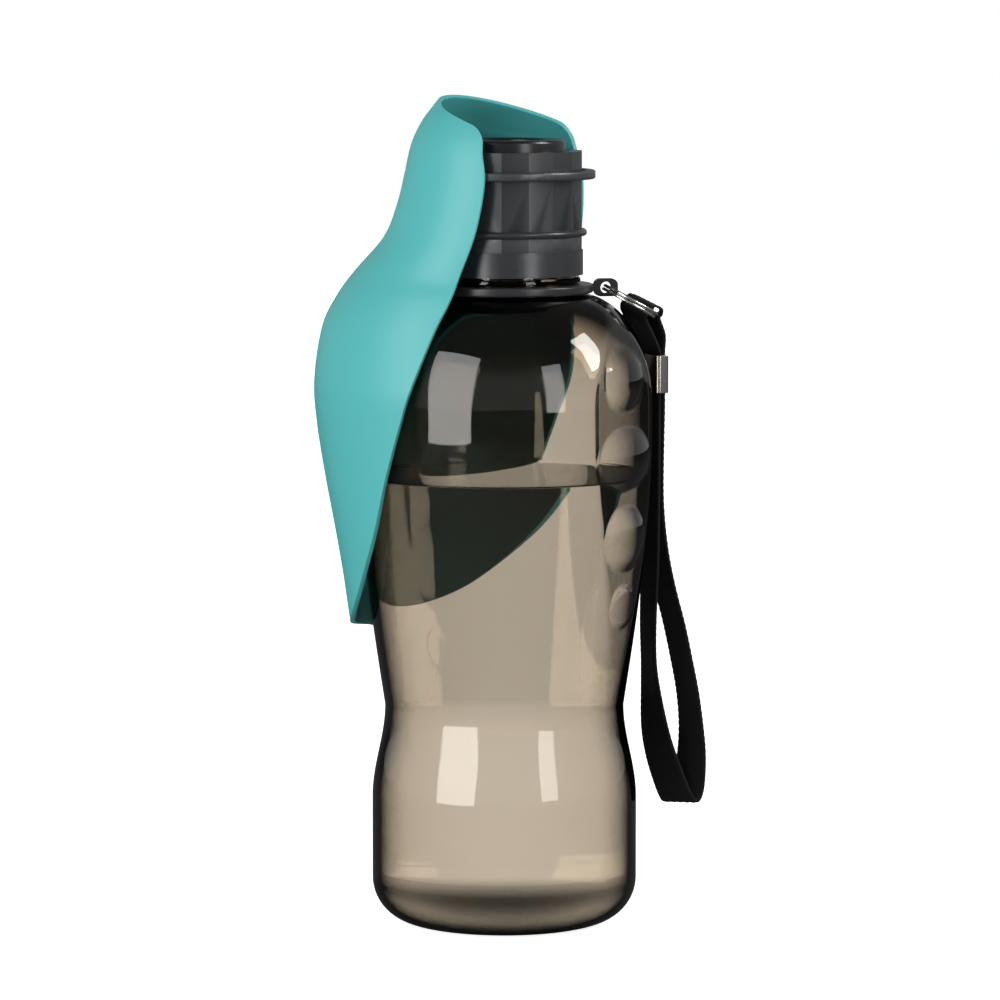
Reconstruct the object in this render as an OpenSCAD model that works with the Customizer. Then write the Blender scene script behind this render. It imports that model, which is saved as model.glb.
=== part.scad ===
// Dog travel water bottle: a squeezable bottle whose screw cap carries a leaf-shaped drinking trough.
// The bottle stands on Z = 0 about the Z axis. The leaf hangs on the -X side, the grip panel faces +X,
// and a wrist strap hangs from a ring on a turning collar round the neck.

/* [Bottle] */
// Radius of the lower bulge, which fits a cup holder
base_r = 36; // [34:0.5:38]
// Radius of the waist
waist_r = 32.5; // [30:0.5:34]
// Radius of the chest under the shoulder
chest_r = 40; // [39:0.5:42]
// Radius of the rounded heel
heel_r = 12; // [8:0.5:14]
// Height at which the lower bulge starts to draw in
bulge_z = 34; // [28:1:40]
// Height of the waist crease
waist_z = 59.6; // [54:0.2:66]
// Height at which the body reaches its full chest
chest_z = 136; // [130:1:140]
// Length of the straight chest
chest_h = 6; // [4:0.5:8]
// Height of the rounded shoulder
shoulder_h = 29.4; // [27:0.2:32]
// Wall of the bottle
bottle_wall = 1.5; // [1.2:0.1:1.8]
// Rise of the hollow under the base
punt_h = 4; // [2:0.5:6]

/* [Neck] */
// Radius of the neck
neck_r = 19; // [18.5:0.1:19.2]
// Height of the neck above the shoulder
neck_h = 21.6; // [19:0.2:23]
// Wall of the neck
neck_wall = 2; // [1.6:0.1:2.4]
// How far the bead under the thread stands out
bead_out = 1.6; // [1.2:0.1:2]
// Height of the bead
bead_h = 1.6; // [1.2:0.1:2]

/* [Grip panel] */
// Turn of the panel away from the leaf's plane
panel_turn = 4; // [-15:1:15]
// Depth of the panel under the chest
panel_depth = 3.3; // [2.5:0.1:4]
// Height of the panel's lower tip
panel_low_z = 70.6; // [68:0.2:74]
// Height of the panel's upper end
panel_high_z = 162; // [158:0.5:165]
// Height of the lowest finger pad
pad_low_z = 88.4; // [86:0.2:92]
// Rise of a finger pad
pad_rise = 2.4; // [1.5:0.1:3]

/* [Cap] */
// Radius of the cap at its skirt
cap_r = 21.3; // [21:0.1:21.5]
// Height of the cap
cap_h = 33.3; // [33:0.1:36]
// Height of the plain skirt
skirt_h = 6.7; // [5:0.1:8]
// Number of flats round the cap
flats = 18; // [16:2:24]
// Clearance between the neck and the cap's thread
thread_gap = 0.7; // [0.5:0.1:0.9]
// Thickness of the deck that presses on the gasket
deck_h = 2.4; // [2:0.1:3]
// Height of the stop band above the cap's lower edge
band_up = 11.4; // [10:0.2:13]
// Radius of the stop band's section
band_section = 0.95; // [0.8:0.05:1.1]

/* [Valve] */
// Radius of the opening over the valve
mouth_r = 11.5; // [10.5:0.1:12]
// Outer radius of the black retainer
retainer_r = 16.5; // [15.5:0.1:17]
// Height of the retainer above the cap
retainer_up = 3.1; // [2.5:0.1:4]
// Thickness of the valve's flange
flange_h = 1.2; // [1:0.1:1.5]
// Length of each slit in the valve
slit_l = 12; // [8:0.5:14]
// Height of the valve's lip
lip_h = 3.6; // [3:0.1:4]
// Wall of the valve
valve_wall = 0.9; // [0.7:0.1:1.1]

/* [Hinge] */
// Height of the leaf's pivots above the cap's lower edge
hinge_up = 27; // [26:0.2:28]
// Gap between the cap and the hinge ring
ring_clear = 0.9; // [0.7:0.05:1.2]
// Thickness of the hinge ring, both ways
ring_t = 2.4; // [2:0.1:2.6]
// Radius of the pivot pins
pin_r = 1.5; // [1.2:0.1:1.8]
// Running clearance of the pins
pin_gap = 0.06; // [0.04:0.01:0.1]

/* [Leaf] */
// Wall of the leaf
leaf_wall = 1.4; // [1.2:0.1:1.6]
// Clearance between the leaf's edges and the chest
leaf_gap = 0.5; // [0.4:0.1:1]
// How far the trough's belly stands out beyond the chest
belly_out = 11.4; // [9:0.1:13]
// Height of the hood above the pivots
hood_up = 21.1; // [20:0.1:22]
// How far the hood's rim falls from its peak to its corners
rim_drop = 8.5; // [7:0.5:10]
// Corner radius of the hood's rim
rim_corner = 3.2; // [2.5:0.1:5]
// How far the hood draws in from the pivots to its rim
hood_taper = 9.8; // [8:0.1:11]
// Length of the leaf below the pivots
leaf_drop = 125.1; // [122:0.1:128]

/* [Lanyard] */
// Outer radius of the turning collar
collar_r = 24; // [23:0.1:24.4]
// Height of the turning collar
collar_h = 2.4; // [2:0.1:2.8]
// Distance of the ear's hole from the bottle's axis
ear_r = 27.7; // [27.5:0.1:28]
// Radius of the ear's hole
ear_hole_r = 1.6; // [1.6:0.05:1.7]
// Mean radius of the split ring
key_r = 7.8; // [7.6:0.1:8]
// Width of the split ring's wire
key_wire_w = 1.3; // [1.2:0.05:1.4]
// Thickness of the split ring's wire
key_wire_t = 0.85; // [0.7:0.05:0.9]
// Width of the webbing
strap_w = 10; // [9:0.5:10.5]
// Thickness of the webbing
strap_t = 1.1; // [0.9:0.05:1.2]
// Length of the crimp
crimp_l = 10.3; // [9:0.1:11]
// Wall of the crimp
crimp_wall = 0.5; // [0.4:0.05:0.6]

/* [Hidden] */
$fn = 96;
eps = 0.01;

// Clearances
seat_gap = 0.3;         // between pieces that turn on each other
fit_gap = 0.1;          // between pieces that are pushed together
band_stretch = 0.03;    // between the stop band and its groove
hood_clear = 0.9;       // between the hinge ring and the leaf's hood
mouth_clear = 0.6;      // between the valve's lip and the retainer

// Heights of the stack on the shoulder
shoulder_z = chest_z + chest_h;
neck_z = shoulder_z + shoulder_h;
collar_z = neck_z + seat_gap;
bead_z = collar_z + collar_h + seat_gap;
cap_z = bead_z + bead_h + 0.6;
rim_z = neck_z + neck_h;
gasket_h = 1.5;
gasket_z = rim_z + fit_gap / 2;
deck_z = gasket_z + gasket_h + fit_gap / 2;
cap_top_z = cap_z + cap_h;
skirt_z = cap_z + skirt_h;
hinge_z = cap_z + hinge_up;
band_z = cap_z + band_up;

// Bottle
neck_root_r = neck_r + 1;
neck_bore_r = neck_r - neck_wall;
stand_r = base_r - heel_r;
stand_w = 3.5;
punt_r = stand_r - stand_w;
waist_steps = 14;
chest_steps = 20;
shoulder_steps = 20;
heel_steps = 8;

// Grip panel
panel_x = chest_r - panel_depth;
panel_steps = 20;
panel_fall = 2.5;       // how far the panel leans in at its two ends
panel_over = 4;         // how far the panel's face is carried on past its ends
panel_mid_z = 117.3;
panel_low_power = 2.35;
panel_high_power = 7;
pad_steps = 6;
// Height above the lowest pad, half height, and margin to the panel's edges, of each finger pad
pads = [[0, 5.7, 0.5], [18.2, 8.8, 0.4], [39.6, 8.5, 0.8], [60, 7.8, 5]];

// Cap
thread_r = neck_r + thread_gap;
deck_hole_r = 14;
chamber_r = 17.5;
seat_h = 2;
slit_w = 0.3;
counterbore_r = retainer_r + fit_gap;
counterbore_h = 2.9;
seat_z = cap_top_z - counterbore_h;
flat_r = cap_r - 0.1;
inner_flat_r = flat_r * cos(180 / flats);

// Hinge ring and its groove
rib_h = 1.2;
rib_bite = 0.6;
groove_r = inner_flat_r - 0.9;
rib_r = groove_r + seat_gap;
ring_r = cap_r + ring_clear + ring_t;
pivot_bore_end = ring_r + hood_clear + leaf_wall - 0.5;
pin_tip = pivot_bore_end - 0.15;

// Stop band: it sits half way into its groove
band_r = inner_flat_r + band_section * 0.5;

// Leaf sections from the rim down to the tip, each with its height above the pivots, the distance
// of its back from the axis, the radius of its edges and the half angle between them
hood_r = ring_r + hood_clear + leaf_wall;
trough_r = chest_r + leaf_gap + leaf_wall;
leaf_low = -0.061 * leaf_drop;  // the hood's rows end here and the trough's rows begin
leaf_sections = [
    [hood_up, tapered(1), tapered(1), 108],
    [0.86 * hood_up, tapered(0.765), tapered(0.765), 108],
    [0.71 * hood_up, tapered(0.52), tapered(0.52), 108],
    [0.5 * hood_up, tapered(0.276), tapered(0.276), 108],
    [0.31 * hood_up, tapered(0.133), tapered(0.133), 108.5],
    [0.02 * hood_up, tapered(0), tapered(0), 110.5],
    [leaf_low, widened(0.14), widened(0.067), 109],
    [-0.133 * leaf_drop, widened(0.4), widened(0.133), 105],
    [-0.213 * leaf_drop, bellied(0.035), widened(0.24), 98.4],
    [-0.261 * leaf_drop, bellied(0.44), widened(0.44), 96],
    [-0.325 * leaf_drop, bellied(0.807), widened(0.667), 91.5],
    [-0.445 * leaf_drop, bellied(1), bellied(0.01), 85.6],
    [-0.536 * leaf_drop, bellied(0.947), bellied(0.044), 80.1],
    [-0.652 * leaf_drop, bellied(0.737), bellied(0.035), 72.6],
    [-0.764 * leaf_drop, bellied(0.482), bellied(0.01), 65.4],
    [-0.86 * leaf_drop, bellied(0.272), trough_r, 55.8],
    [-0.916 * leaf_drop, bellied(0.167), trough_r, 47.9],
    [-0.956 * leaf_drop, bellied(0.096), trough_r, 38.2],
    [-0.98 * leaf_drop, bellied(0.053), bellied(0.01), 26],
    [-leaf_drop, bellied(0.026), bellied(0.026), 3]
];
hood_rows = 7;
trough_rows = 22;
leaf_cols = 28;
boss_r = 4;

// Lanyard, in its own frame: X points out of the bottle through the ear
lanyard_turn = 40;
ear_t = 3;
ear_w = 6.4;
ear_h = 4.8;
ear_corner = 1.7;
ear_z = collar_z + 1.1;
key_tilt = 28;
key_gap = 0.15;
key_steps = 36;
key_start = -30;        // where on the split ring its wire ends
key_hang = 45;          // where on the split ring the webbing hangs
strap_gap = 0.2;
strap_in_crimp = 0.2;
crimp_at = [42.5, 9.28];
crimp_turn = 20;
crimp_mid_z = 148.6;
// Route of the hand loop: out, aside, height, and the turn of the webbing's width
hand_route = [
    [41.89, 9.06, 148.5, 20], [41.89, 9.06, 139, 20], [41.6, 7.8, 126, 20], [41.4, 7.1, 112, 20],
    [41.3, 7.1, 96, 18], [41.05, 7.9, 80, 15], [41.4, 8.7, 69, 14], [42.2, 9.5, 60, 23],
    [43.5, 10.3, 50, 40], [45.5, 10.9, 42, 53], [48.0, 11.4, 34.9, 63], [49.8, 11.8, 30.8, 70],
    [51.1, 12.4, 29.5, 72], [52.4, 13.1, 30.7, 68], [53.6, 13.5, 35.3, 55], [54.3, 13.5, 43, 42],
    [54.0, 13.0, 51, 32], [52.9, 12.4, 60, 28], [51.1, 11.8, 69, 27], [48.9, 11.3, 79, 27],
    [46.1, 11.2, 90, 26], [44.1, 11.2, 101, 24], [43.1, 11.2, 114, 21], [43.11, 10.5, 130, 20],
    [43.11, 9.5, 139, 20], [43.11, 9.5, 148.5, 20]
];

// ---------- helpers ----------

function lerp(a, b, t) = a + (b - a) * t;
function unit(v) = v / norm(v);

// Radii of the leaf: of the hood that draws in, between hood and chest, and of the belly
function tapered(share) = hood_r - hood_taper * share;
function widened(share) = lerp(hood_r, trough_r, share);
function bellied(share) = trough_r + belly_out * share;

// Value in a column of a table whose first column falls, along a smooth curve through its rows
function row_of(table, z, i = 0) = i >= len(table) - 2 || z >= table[i + 1][0] ? i : row_of(table, z, i + 1);
function slope_at(table, i, col) =
    let(a = max(i - 1, 0), b = min(i + 1, len(table) - 1))
    (table[b][col] - table[a][col]) / (table[b][0] - table[a][0]);
function along(table, z, col) =
    let(
        i = row_of(table, z),
        h = table[i + 1][0] - table[i][0],
        t = (z - table[i][0]) / h,
        a = table[i][col],
        b = table[i + 1][col],
        ma = slope_at(table, i, col) * h,
        mb = slope_at(table, i + 1, col) * h
    )
    (2 * t * t * t - 3 * t * t + 1) * a + (t * t * t - 2 * t * t + t) * ma
    + (3 * t * t - 2 * t * t * t) * b + (t * t * t - t * t) * mb;

// Point on the smooth curve through a list of points
function clamped(points, i) = points[min(max(i, 0), len(points) - 1)];
function spline(points, i, t) =
    let(
        a = clamped(points, i - 1),
        b = clamped(points, i),
        c = clamped(points, i + 1),
        d = clamped(points, i + 2)
    )
    b + (c - a) * t / 2 + (a - 2.5 * b + 2 * c - d / 2) * t * t + (3 * b - a - 3 * c + d) * t * t * t / 2;
function smoothed(points, parts) = [
    for (i = [0 : len(points) - 2], k = [0 : parts - 1]) spline(points, i, k / parts),
    points[len(points) - 1]
];

module rounded_box(w, h, r) {
    square([w - 2 * r, h], center = true);
    square([w, h - 2 * r], center = true);
    for (x = [-1, 1], y = [-1, 1])
        translate([x * (w / 2 - r), y * (h / 2 - r)])
            circle(r);
}

// A closed skin over rows of points, each row with the same number of points round it
module skin(rows) {
    n = len(rows[0]);
    last = len(rows) - 1;
    polyhedron(
        points = [for (row = rows) each row],
        faces = [
            for (i = [0 : last - 1], j = [0 : n - 1])
                let(a = i * n + j, b = i * n + (j + 1) % n, c = b + n, d = a + n)
                each [[a, b, c], [a, c, d]],
            for (j = [1 : n - 2]) [0, j + 1, j],
            for (j = [1 : n - 2]) [last * n, last * n + j, last * n + j + 1]
        ]
    );
}

// ---------- bottle ----------

// Outer radius of the body above the heel, below the shoulder
function body_r(z) =
    z <= bulge_z ? base_r :
    z <= waist_z ? lerp(base_r, waist_r, (1 - cos(180 * (z - bulge_z) / (waist_z - bulge_z))) / 2) :
    z <= chest_z ? lerp(waist_r, chest_r, sin(90 * (z - waist_z) / (chest_z - waist_z))) :
    chest_r;

function side_points(inset) = [
    for (i = [1 : waist_steps]) let(z = lerp(bulge_z, waist_z, i / waist_steps)) [body_r(z) - inset, z],
    for (i = [1 : chest_steps]) let(z = lerp(waist_z, chest_z, i / chest_steps)) [body_r(z) - inset, z]
];

function base_points(inset) = [
    for (i = [0 : heel_steps])
        let(r = punt_r * i / heel_steps) [r, punt_h * (1 + cos(180 * i / heel_steps)) / 2 + inset],
    for (i = [0 : heel_steps])
        let(a = -90 + 90 * i / heel_steps)
        [stand_r + (heel_r - inset) * cos(a), heel_r + (heel_r - inset) * sin(a)],
    [base_r - inset, bulge_z]
];

// The shoulder is a quarter ellipse from the chest to the neck
function shoulder_points(root, inset) = [
    for (i = [0 : shoulder_steps])
        let(a = 90 * i / shoulder_steps)
        [root + (chest_r - inset - root) * cos(a), shoulder_z + (shoulder_h - inset) * sin(a)]
];

function bead_points() = [
    [neck_r, bead_z],
    [neck_r + bead_out - bead_h / 4, bead_z],
    [neck_r + bead_out, bead_z + bead_h / 4],
    [neck_r + bead_out, bead_z + bead_h * 3 / 4],
    [neck_r + bead_out - bead_h / 4, bead_z + bead_h],
    [neck_r, bead_z + bead_h]
];

module bottle_outside() {
    rotate_extrude()
        polygon(concat(
            base_points(0), side_points(0), shoulder_points(neck_root_r, 0),
            [[neck_r, neck_z]], bead_points(),
            [[neck_r, rim_z - 0.5], [neck_r - 0.5, rim_z], [0, rim_z]]
        ));
}

module bottle_inside() {
    rotate_extrude()
        polygon(concat(
            base_points(bottle_wall), side_points(bottle_wall),
            shoulder_points(neck_bore_r, bottle_wall),
            [[neck_bore_r, rim_z + 1], [0, rim_z + 1]]
        ));
}

// How far out the panel's face lies at a height
function panel_face(z) =
    z < panel_mid_z
    ? panel_x - panel_fall * pow((panel_mid_z - z) / (panel_mid_z - panel_low_z), panel_low_power)
    : panel_x - panel_fall * pow((z - panel_mid_z) / (panel_high_z - panel_mid_z), panel_high_power);

// A solid across the bottle whose faces follow the panel's face at two distances
module panel_slab(inner, outer) {
    low = panel_low_z - panel_over;
    high = panel_high_z + panel_over;
    rotate([90, 0, 0])
        linear_extrude(3 * chest_r, center = true)
            polygon([
                for (i = [0 : panel_steps])
                    let(z = lerp(low, high, i / panel_steps)) [panel_face(z) + inner, z],
                [panel_x + outer, high],
                [panel_x + outer, low]
            ]);
}

// The body's solid core, moved in by the inset, which the panel's plate is cut to
module body_core(inset) {
    rotate_extrude()
        polygon(concat(
            base_points(inset), side_points(inset), shoulder_points(neck_root_r, inset),
            [[0, shoulder_z + shoulder_h - inset]]
        ));
}

// A finger pad is a barrel that swells out of the panel, as wide as the panel is there
module pad(z, half_h, margin, inset) {
    face = panel_face(z);
    half_w = max(sqrt(pow(body_r(z), 2) - face * face) - margin, half_h);
    up_r = (half_h * half_h + pad_rise * pad_rise) / (2 * pad_rise);
    across_r = (half_w * half_w + pad_rise * pad_rise) / (2 * pad_rise);
    arc = acos((up_r - pad_rise - 2 * bottle_wall) / up_r) + 2;
    root = face - bottle_wall / 2 - inset;
    intersection() {
        translate([face + pad_rise - across_r, 0, z])
            rotate_extrude()
                polygon([
                    for (i = [-pad_steps : pad_steps])
                        let(a = arc * i / pad_steps)
                        [across_r - up_r + (up_r - inset) * cos(a), (up_r - inset) * sin(a)],
                    [1, (up_r - inset) * sin(arc)],
                    [1, -(up_r - inset) * sin(arc)]
                ]);
        translate([root, -chest_r, z - 2 * half_h])
            cube([chest_r, 2 * chest_r, 4 * half_h]);
    }
}

module bottle_body() {
    color([0.66, 0.6, 0.53, 0.6])
        difference() {
            union() {
                difference() {
                    union() {
                        difference() {
                            bottle_outside();
                            bottle_inside();
                        }
                        intersection() {
                            body_core(bottle_wall / 2);
                            rotate(panel_turn)
                                panel_slab(-bottle_wall, chest_r);
                        }
                    }
                    rotate(panel_turn)
                        panel_slab(0, 2 * chest_r);
                }
                rotate(panel_turn)
                    for (p = pads)
                        pad(pad_low_z + p[0], p[1], p[2], 0);
            }
            rotate(panel_turn)
                for (p = pads)
                    pad(pad_low_z + p[0], p[1], p[2], bottle_wall);
        }
}

// ---------- cap ----------

module cap_gasket() {
    color([0.9, 0.9, 0.88])
        translate([0, 0, gasket_z])
            difference() {
                cylinder(r = thread_r - seat_gap, h = gasket_h);
                translate([0, 0, -1])
                    cylinder(r = neck_bore_r - 1, h = gasket_h + 2);
            }
}

module flats_prism(r, h) {
    linear_extrude(h)
        polygon([for (i = [0 : flats - 1]) r * [cos(360 * i / flats), sin(360 * i / flats)]]);
}

module screw_cap() {
    color([0.24, 0.25, 0.27])
        difference() {
            union() {
                translate([0, 0, cap_z])
                    cylinder(r = cap_r, h = skirt_h);
                translate([0, 0, skirt_z - eps])
                    flats_prism(flat_r, cap_top_z - skirt_z + eps);
            }
            translate([0, 0, cap_z - 1])
                cylinder(r = thread_r, h = deck_z - cap_z + 1);
            translate([0, 0, deck_z - 1])
                cylinder(r = deck_hole_r, h = deck_h + 2);
            translate([0, 0, deck_z + deck_h])
                cylinder(r = chamber_r, h = seat_z - seat_h - deck_z - deck_h);
            translate([0, 0, seat_z - seat_h - 1])
                cylinder(r = mouth_r + 1, h = seat_h + 2);
            translate([0, 0, seat_z])
                cylinder(r = counterbore_r, h = counterbore_h + 1);
            ring_groove();
            band_groove();
        }
}

// Groove that the hinge ring's rib runs in
module ring_groove() {
    translate([0, 0, hinge_z])
        rotate_extrude()
            translate([groove_r, -rib_h / 2 - seat_gap])
                square([cap_r, rib_h + 2 * seat_gap]);
}

module band_groove() {
    translate([0, 0, band_z])
        rotate_extrude()
            translate([band_r, 0])
                circle(band_section + band_stretch);
}

// The lip stands in the retainer's mouth, and its middle sinks to the slits
function valve_outline() =
    let(
        lip_r = mouth_r - mouth_clear,
        top = [[lip_r, flange_h], [0.945 * lip_r, lip_h - 0.2], [0.826 * lip_r, lip_h],
               [0.642 * lip_r, 0.75 * lip_h], [0.367 * lip_r, 0.47 * lip_h], [0, 0.39 * lip_h]],
        under = [[0, 0.39 * lip_h - valve_wall], [0.367 * lip_r, 0.47 * lip_h - valve_wall],
                 [0.7 * lip_r, 0.75 * lip_h - 1.1 * valve_wall], [0.826 * lip_r, lip_h - 1.1 * valve_wall],
                 [0.862 * lip_r, 0.33 * lip_h], [lip_r - 1.2 * valve_wall, 0]]
    )
    concat(under, [[retainer_r - 0.4, 0], [retainer_r - 0.4, flange_h]], top);

module slit_valve() {
    color([0.82, 0.83, 0.84])
        translate([0, 0, seat_z + fit_gap / 2])
            difference() {
                rotate_extrude()
                    polygon(valve_outline());
                for (a = [0, 90])
                    rotate(a)
                        cube([slit_l, slit_w, 4 * lip_h], center = true);
            }
}

module valve_retainer() {
    color([0.08, 0.08, 0.09])
        translate([0, 0, seat_z + flange_h + fit_gap])
            rotate_extrude()
                polygon(retainer_outline(counterbore_h + retainer_up - flange_h - fit_gap));
}

function retainer_outline(h) = [
    [mouth_r + 0.6, 0], [retainer_r, 0], [retainer_r, h - 0.8], [retainer_r - 0.25, h - 0.25],
    [retainer_r - 0.8, h], [mouth_r + 0.8, h], [mouth_r + 0.2, h - 0.3], [mouth_r, h - 0.9],
    [mouth_r, 1.2]
];

module stop_band() {
    color([0.12, 0.12, 0.13])
        translate([0, 0, band_z])
            rotate_extrude()
                translate([band_r, 0])
                    circle(band_section);
}

// ---------- hinge ring and leaf ----------

module hinge_ring() {
    corner = ring_t / 4;
    color([0.22, 0.23, 0.24])
        translate([0, 0, hinge_z]) {
            rotate_extrude()
                union() {
                    translate([ring_r - ring_t / 2, 0])
                        rounded_box(ring_t, ring_t, corner);
                    translate([rib_r, -rib_h / 2])
                        square([ring_r - ring_t / 2 - rib_r, rib_h]);
                }
            for (side = [-1, 1])
                rotate([side * 90, 0, 0])
                    translate([0, 0, ring_r - ring_t / 2])
                        cylinder(r = pin_r, h = pin_tip - ring_r + ring_t / 2);
        }
}

// Height of the rim over the pivots, across the leaf from edge to edge
function rim_at(f) =
    let(
        half_arc = 41,
        s = max(0, abs(f) * half_arc - half_arc + rim_corner)
    )
    hood_up - rim_drop * f * f - (rim_corner - sqrt(max(0, rim_corner * rim_corner - s * s)));

// Point on the leaf's outside: z is the height above the pivots, f runs from edge to edge
function leaf_outside(z, f) =
    let(
        back = along(leaf_sections, z, 1),
        edge = along(leaf_sections, z, 2),
        half = along(leaf_sections, z, 3),
        ex = -edge * cos(half),
        ey = edge * sin(half),
        d = ex + back,
        r = (d * d + ey * ey) / (2 * d),
        cx = r - back,
        a = f * atan2(ey, cx - ex)
    )
    [cx - r * cos(a), r * sin(a), z];

function leaf_normal(z, f) =
    let(
        dz = 0.2,
        df = 0.01,
        down = leaf_outside(max(z - dz, -leaf_drop), f) - leaf_outside(min(z + dz, hood_up), f),
        side = leaf_outside(z, min(f + df, 1)) - leaf_outside(z, max(f - df, -1))
    )
    unit(cross(side, down));

// The columns lie closer together towards the edges
function leaf_col(j) = 0.6 * sin(180 * j / leaf_cols - 90) + 0.4 * (2 * j / leaf_cols - 1);

function leaf_z(i, f) =
    i <= hood_rows ? lerp(rim_at(f), leaf_low, i / hood_rows)
    : lerp(leaf_low, -leaf_drop, sin(90 * (i - hood_rows) / trough_rows));

// One closed ring of points for each row: the outside from edge to edge, then the inside back
function leaf_row(i) = concat(
    [for (j = [0 : leaf_cols]) let(f = leaf_col(j)) leaf_outside(leaf_z(i, f), f)],
    [for (j = [leaf_cols : -1 : 0])
        let(f = leaf_col(j), z = leaf_z(i, f)) leaf_outside(z, f) - leaf_wall * leaf_normal(z, f)]
);

module leaf_shell() {
    rows = [for (i = [0 : hood_rows + trough_rows]) leaf_row(i)];
    n = len(rows[0]);
    last = len(rows) - 1;
    polyhedron(
        points = [for (row = rows) each row],
        faces = [
            for (i = [0 : last - 1], j = [0 : n - 1])
                let(a = i * n + j, b = i * n + (j + 1) % n, c = b + n, d = a + n)
                each [[a, b, c], [a, c, d]],
            for (j = [0 : leaf_cols - 1])
                let(a = j, b = j + 1, c = n - 2 - j, d = n - 1 - j)
                each [[a, c, b], [a, d, c]],
            for (j = [0 : leaf_cols - 1])
                let(m = last * n, a = m + j, b = m + j + 1, c = m + n - 2 - j, d = m + n - 1 - j)
                each [[a, b, c], [a, c, d]]
        ]
    );
}

module drinking_leaf() {
    boss_in = ring_r + seat_gap;
    color([0.36, 0.72, 0.7])
        translate([0, 0, hinge_z])
            difference() {
                union() {
                    leaf_shell();
                    for (side = [-1, 1])
                        rotate([side * 90, 0, 0])
                            translate([0, 0, boss_in])
                                cylinder(r = boss_r, h = hood_r - leaf_wall / 2 - boss_in);
                }
                for (side = [-1, 1])
                    rotate([side * 90, 0, 0])
                        translate([0, 0, ring_r - 1])
                            cylinder(r = pin_r + pin_gap, h = pivot_bore_end - ring_r + 1);
            }
}

// ---------- lanyard ----------

module lanyard_collar() {
    color([0.13, 0.13, 0.14])
        rotate(lanyard_turn)
            difference() {
                union() {
                    translate([0, 0, collar_z])
                        rotate_extrude()
                            translate([(neck_r + seat_gap + collar_r) / 2, collar_h / 2])
                                rounded_box(collar_r - neck_r - seat_gap, collar_h, 0.5);
                    translate([ear_r, 0, ear_z])
                        rotate([90, 0, 0])
                            linear_extrude(ear_t, center = true)
                                ear_outline();
                }
                translate([ear_r, 0, ear_z])
                    rotate([90, 0, 0])
                        cylinder(r = ear_hole_r, h = ear_t + 2, center = true);
            }
}

module ear_outline() {
    root = ear_r - collar_r + 1;
    rounded_box(ear_w, ear_h, ear_corner);
    translate([-root, collar_z + 0.3 - ear_z])
        square([root, collar_h - 0.6]);
}

// The split ring's own frame: its centre, with X pointing down the slope and Z square to the ring
module key_frame() {
    rotate(lanyard_turn)
        translate([ear_r, 0, ear_z])
            rotate([0, key_tilt, 0])
                translate([key_r, 0, 0])
                    children();
}

module split_ring() {
    pitch = key_wire_t + key_gap;
    w = key_wire_w / 2;
    t = key_wire_t / 2;
    color([0.75, 0.76, 0.78])
        key_frame()
            skin([
                for (i = [0 : 2 * key_steps - 1])
                    let(a = key_start + 360 * i / key_steps, h = pitch * (i / key_steps - 1))
                    [for (c = [[-w, -t], [w, -t], [w, t], [-w, t]])
                        [(key_r + c[0]) * cos(a), (key_r + c[0]) * sin(a), h + c[1]]]
            ]);
}

// Flat webbing along a route of points, each followed by the vector of the webbing's width
function band_row(route, i) =
    let(
        p = route[i][0],
        t = unit(clamped(route, i + 1)[0] - clamped(route, i - 1)[0]),
        w = unit(route[i][1] - (route[i][1] * t) * t),
        n = cross(t, w)
    )
    [for (c = [[-1, -1], [1, -1], [1, 1], [-1, 1]]) p + c[0] * strap_w / 2 * w + c[1] * strap_t / 2 * n];

module webbing(route) {
    color([0.05, 0.05, 0.055])
        rotate(lanyard_turn)
            skin([for (i = [0 : len(route) - 1]) band_row(route, i)]);
}

// Width of the webbing turned by an angle about the upright, and tilted up
function width_at(turn, tilt) = [-sin(turn) * cos(tilt), cos(turn) * cos(tilt), sin(tilt)];

module wrist_strap() {
    points = smoothed(hand_route, 3);
    webbing([for (p = points) [[p[0], p[1], p[2]], width_at(p[3], 0)]]);
}

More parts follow.
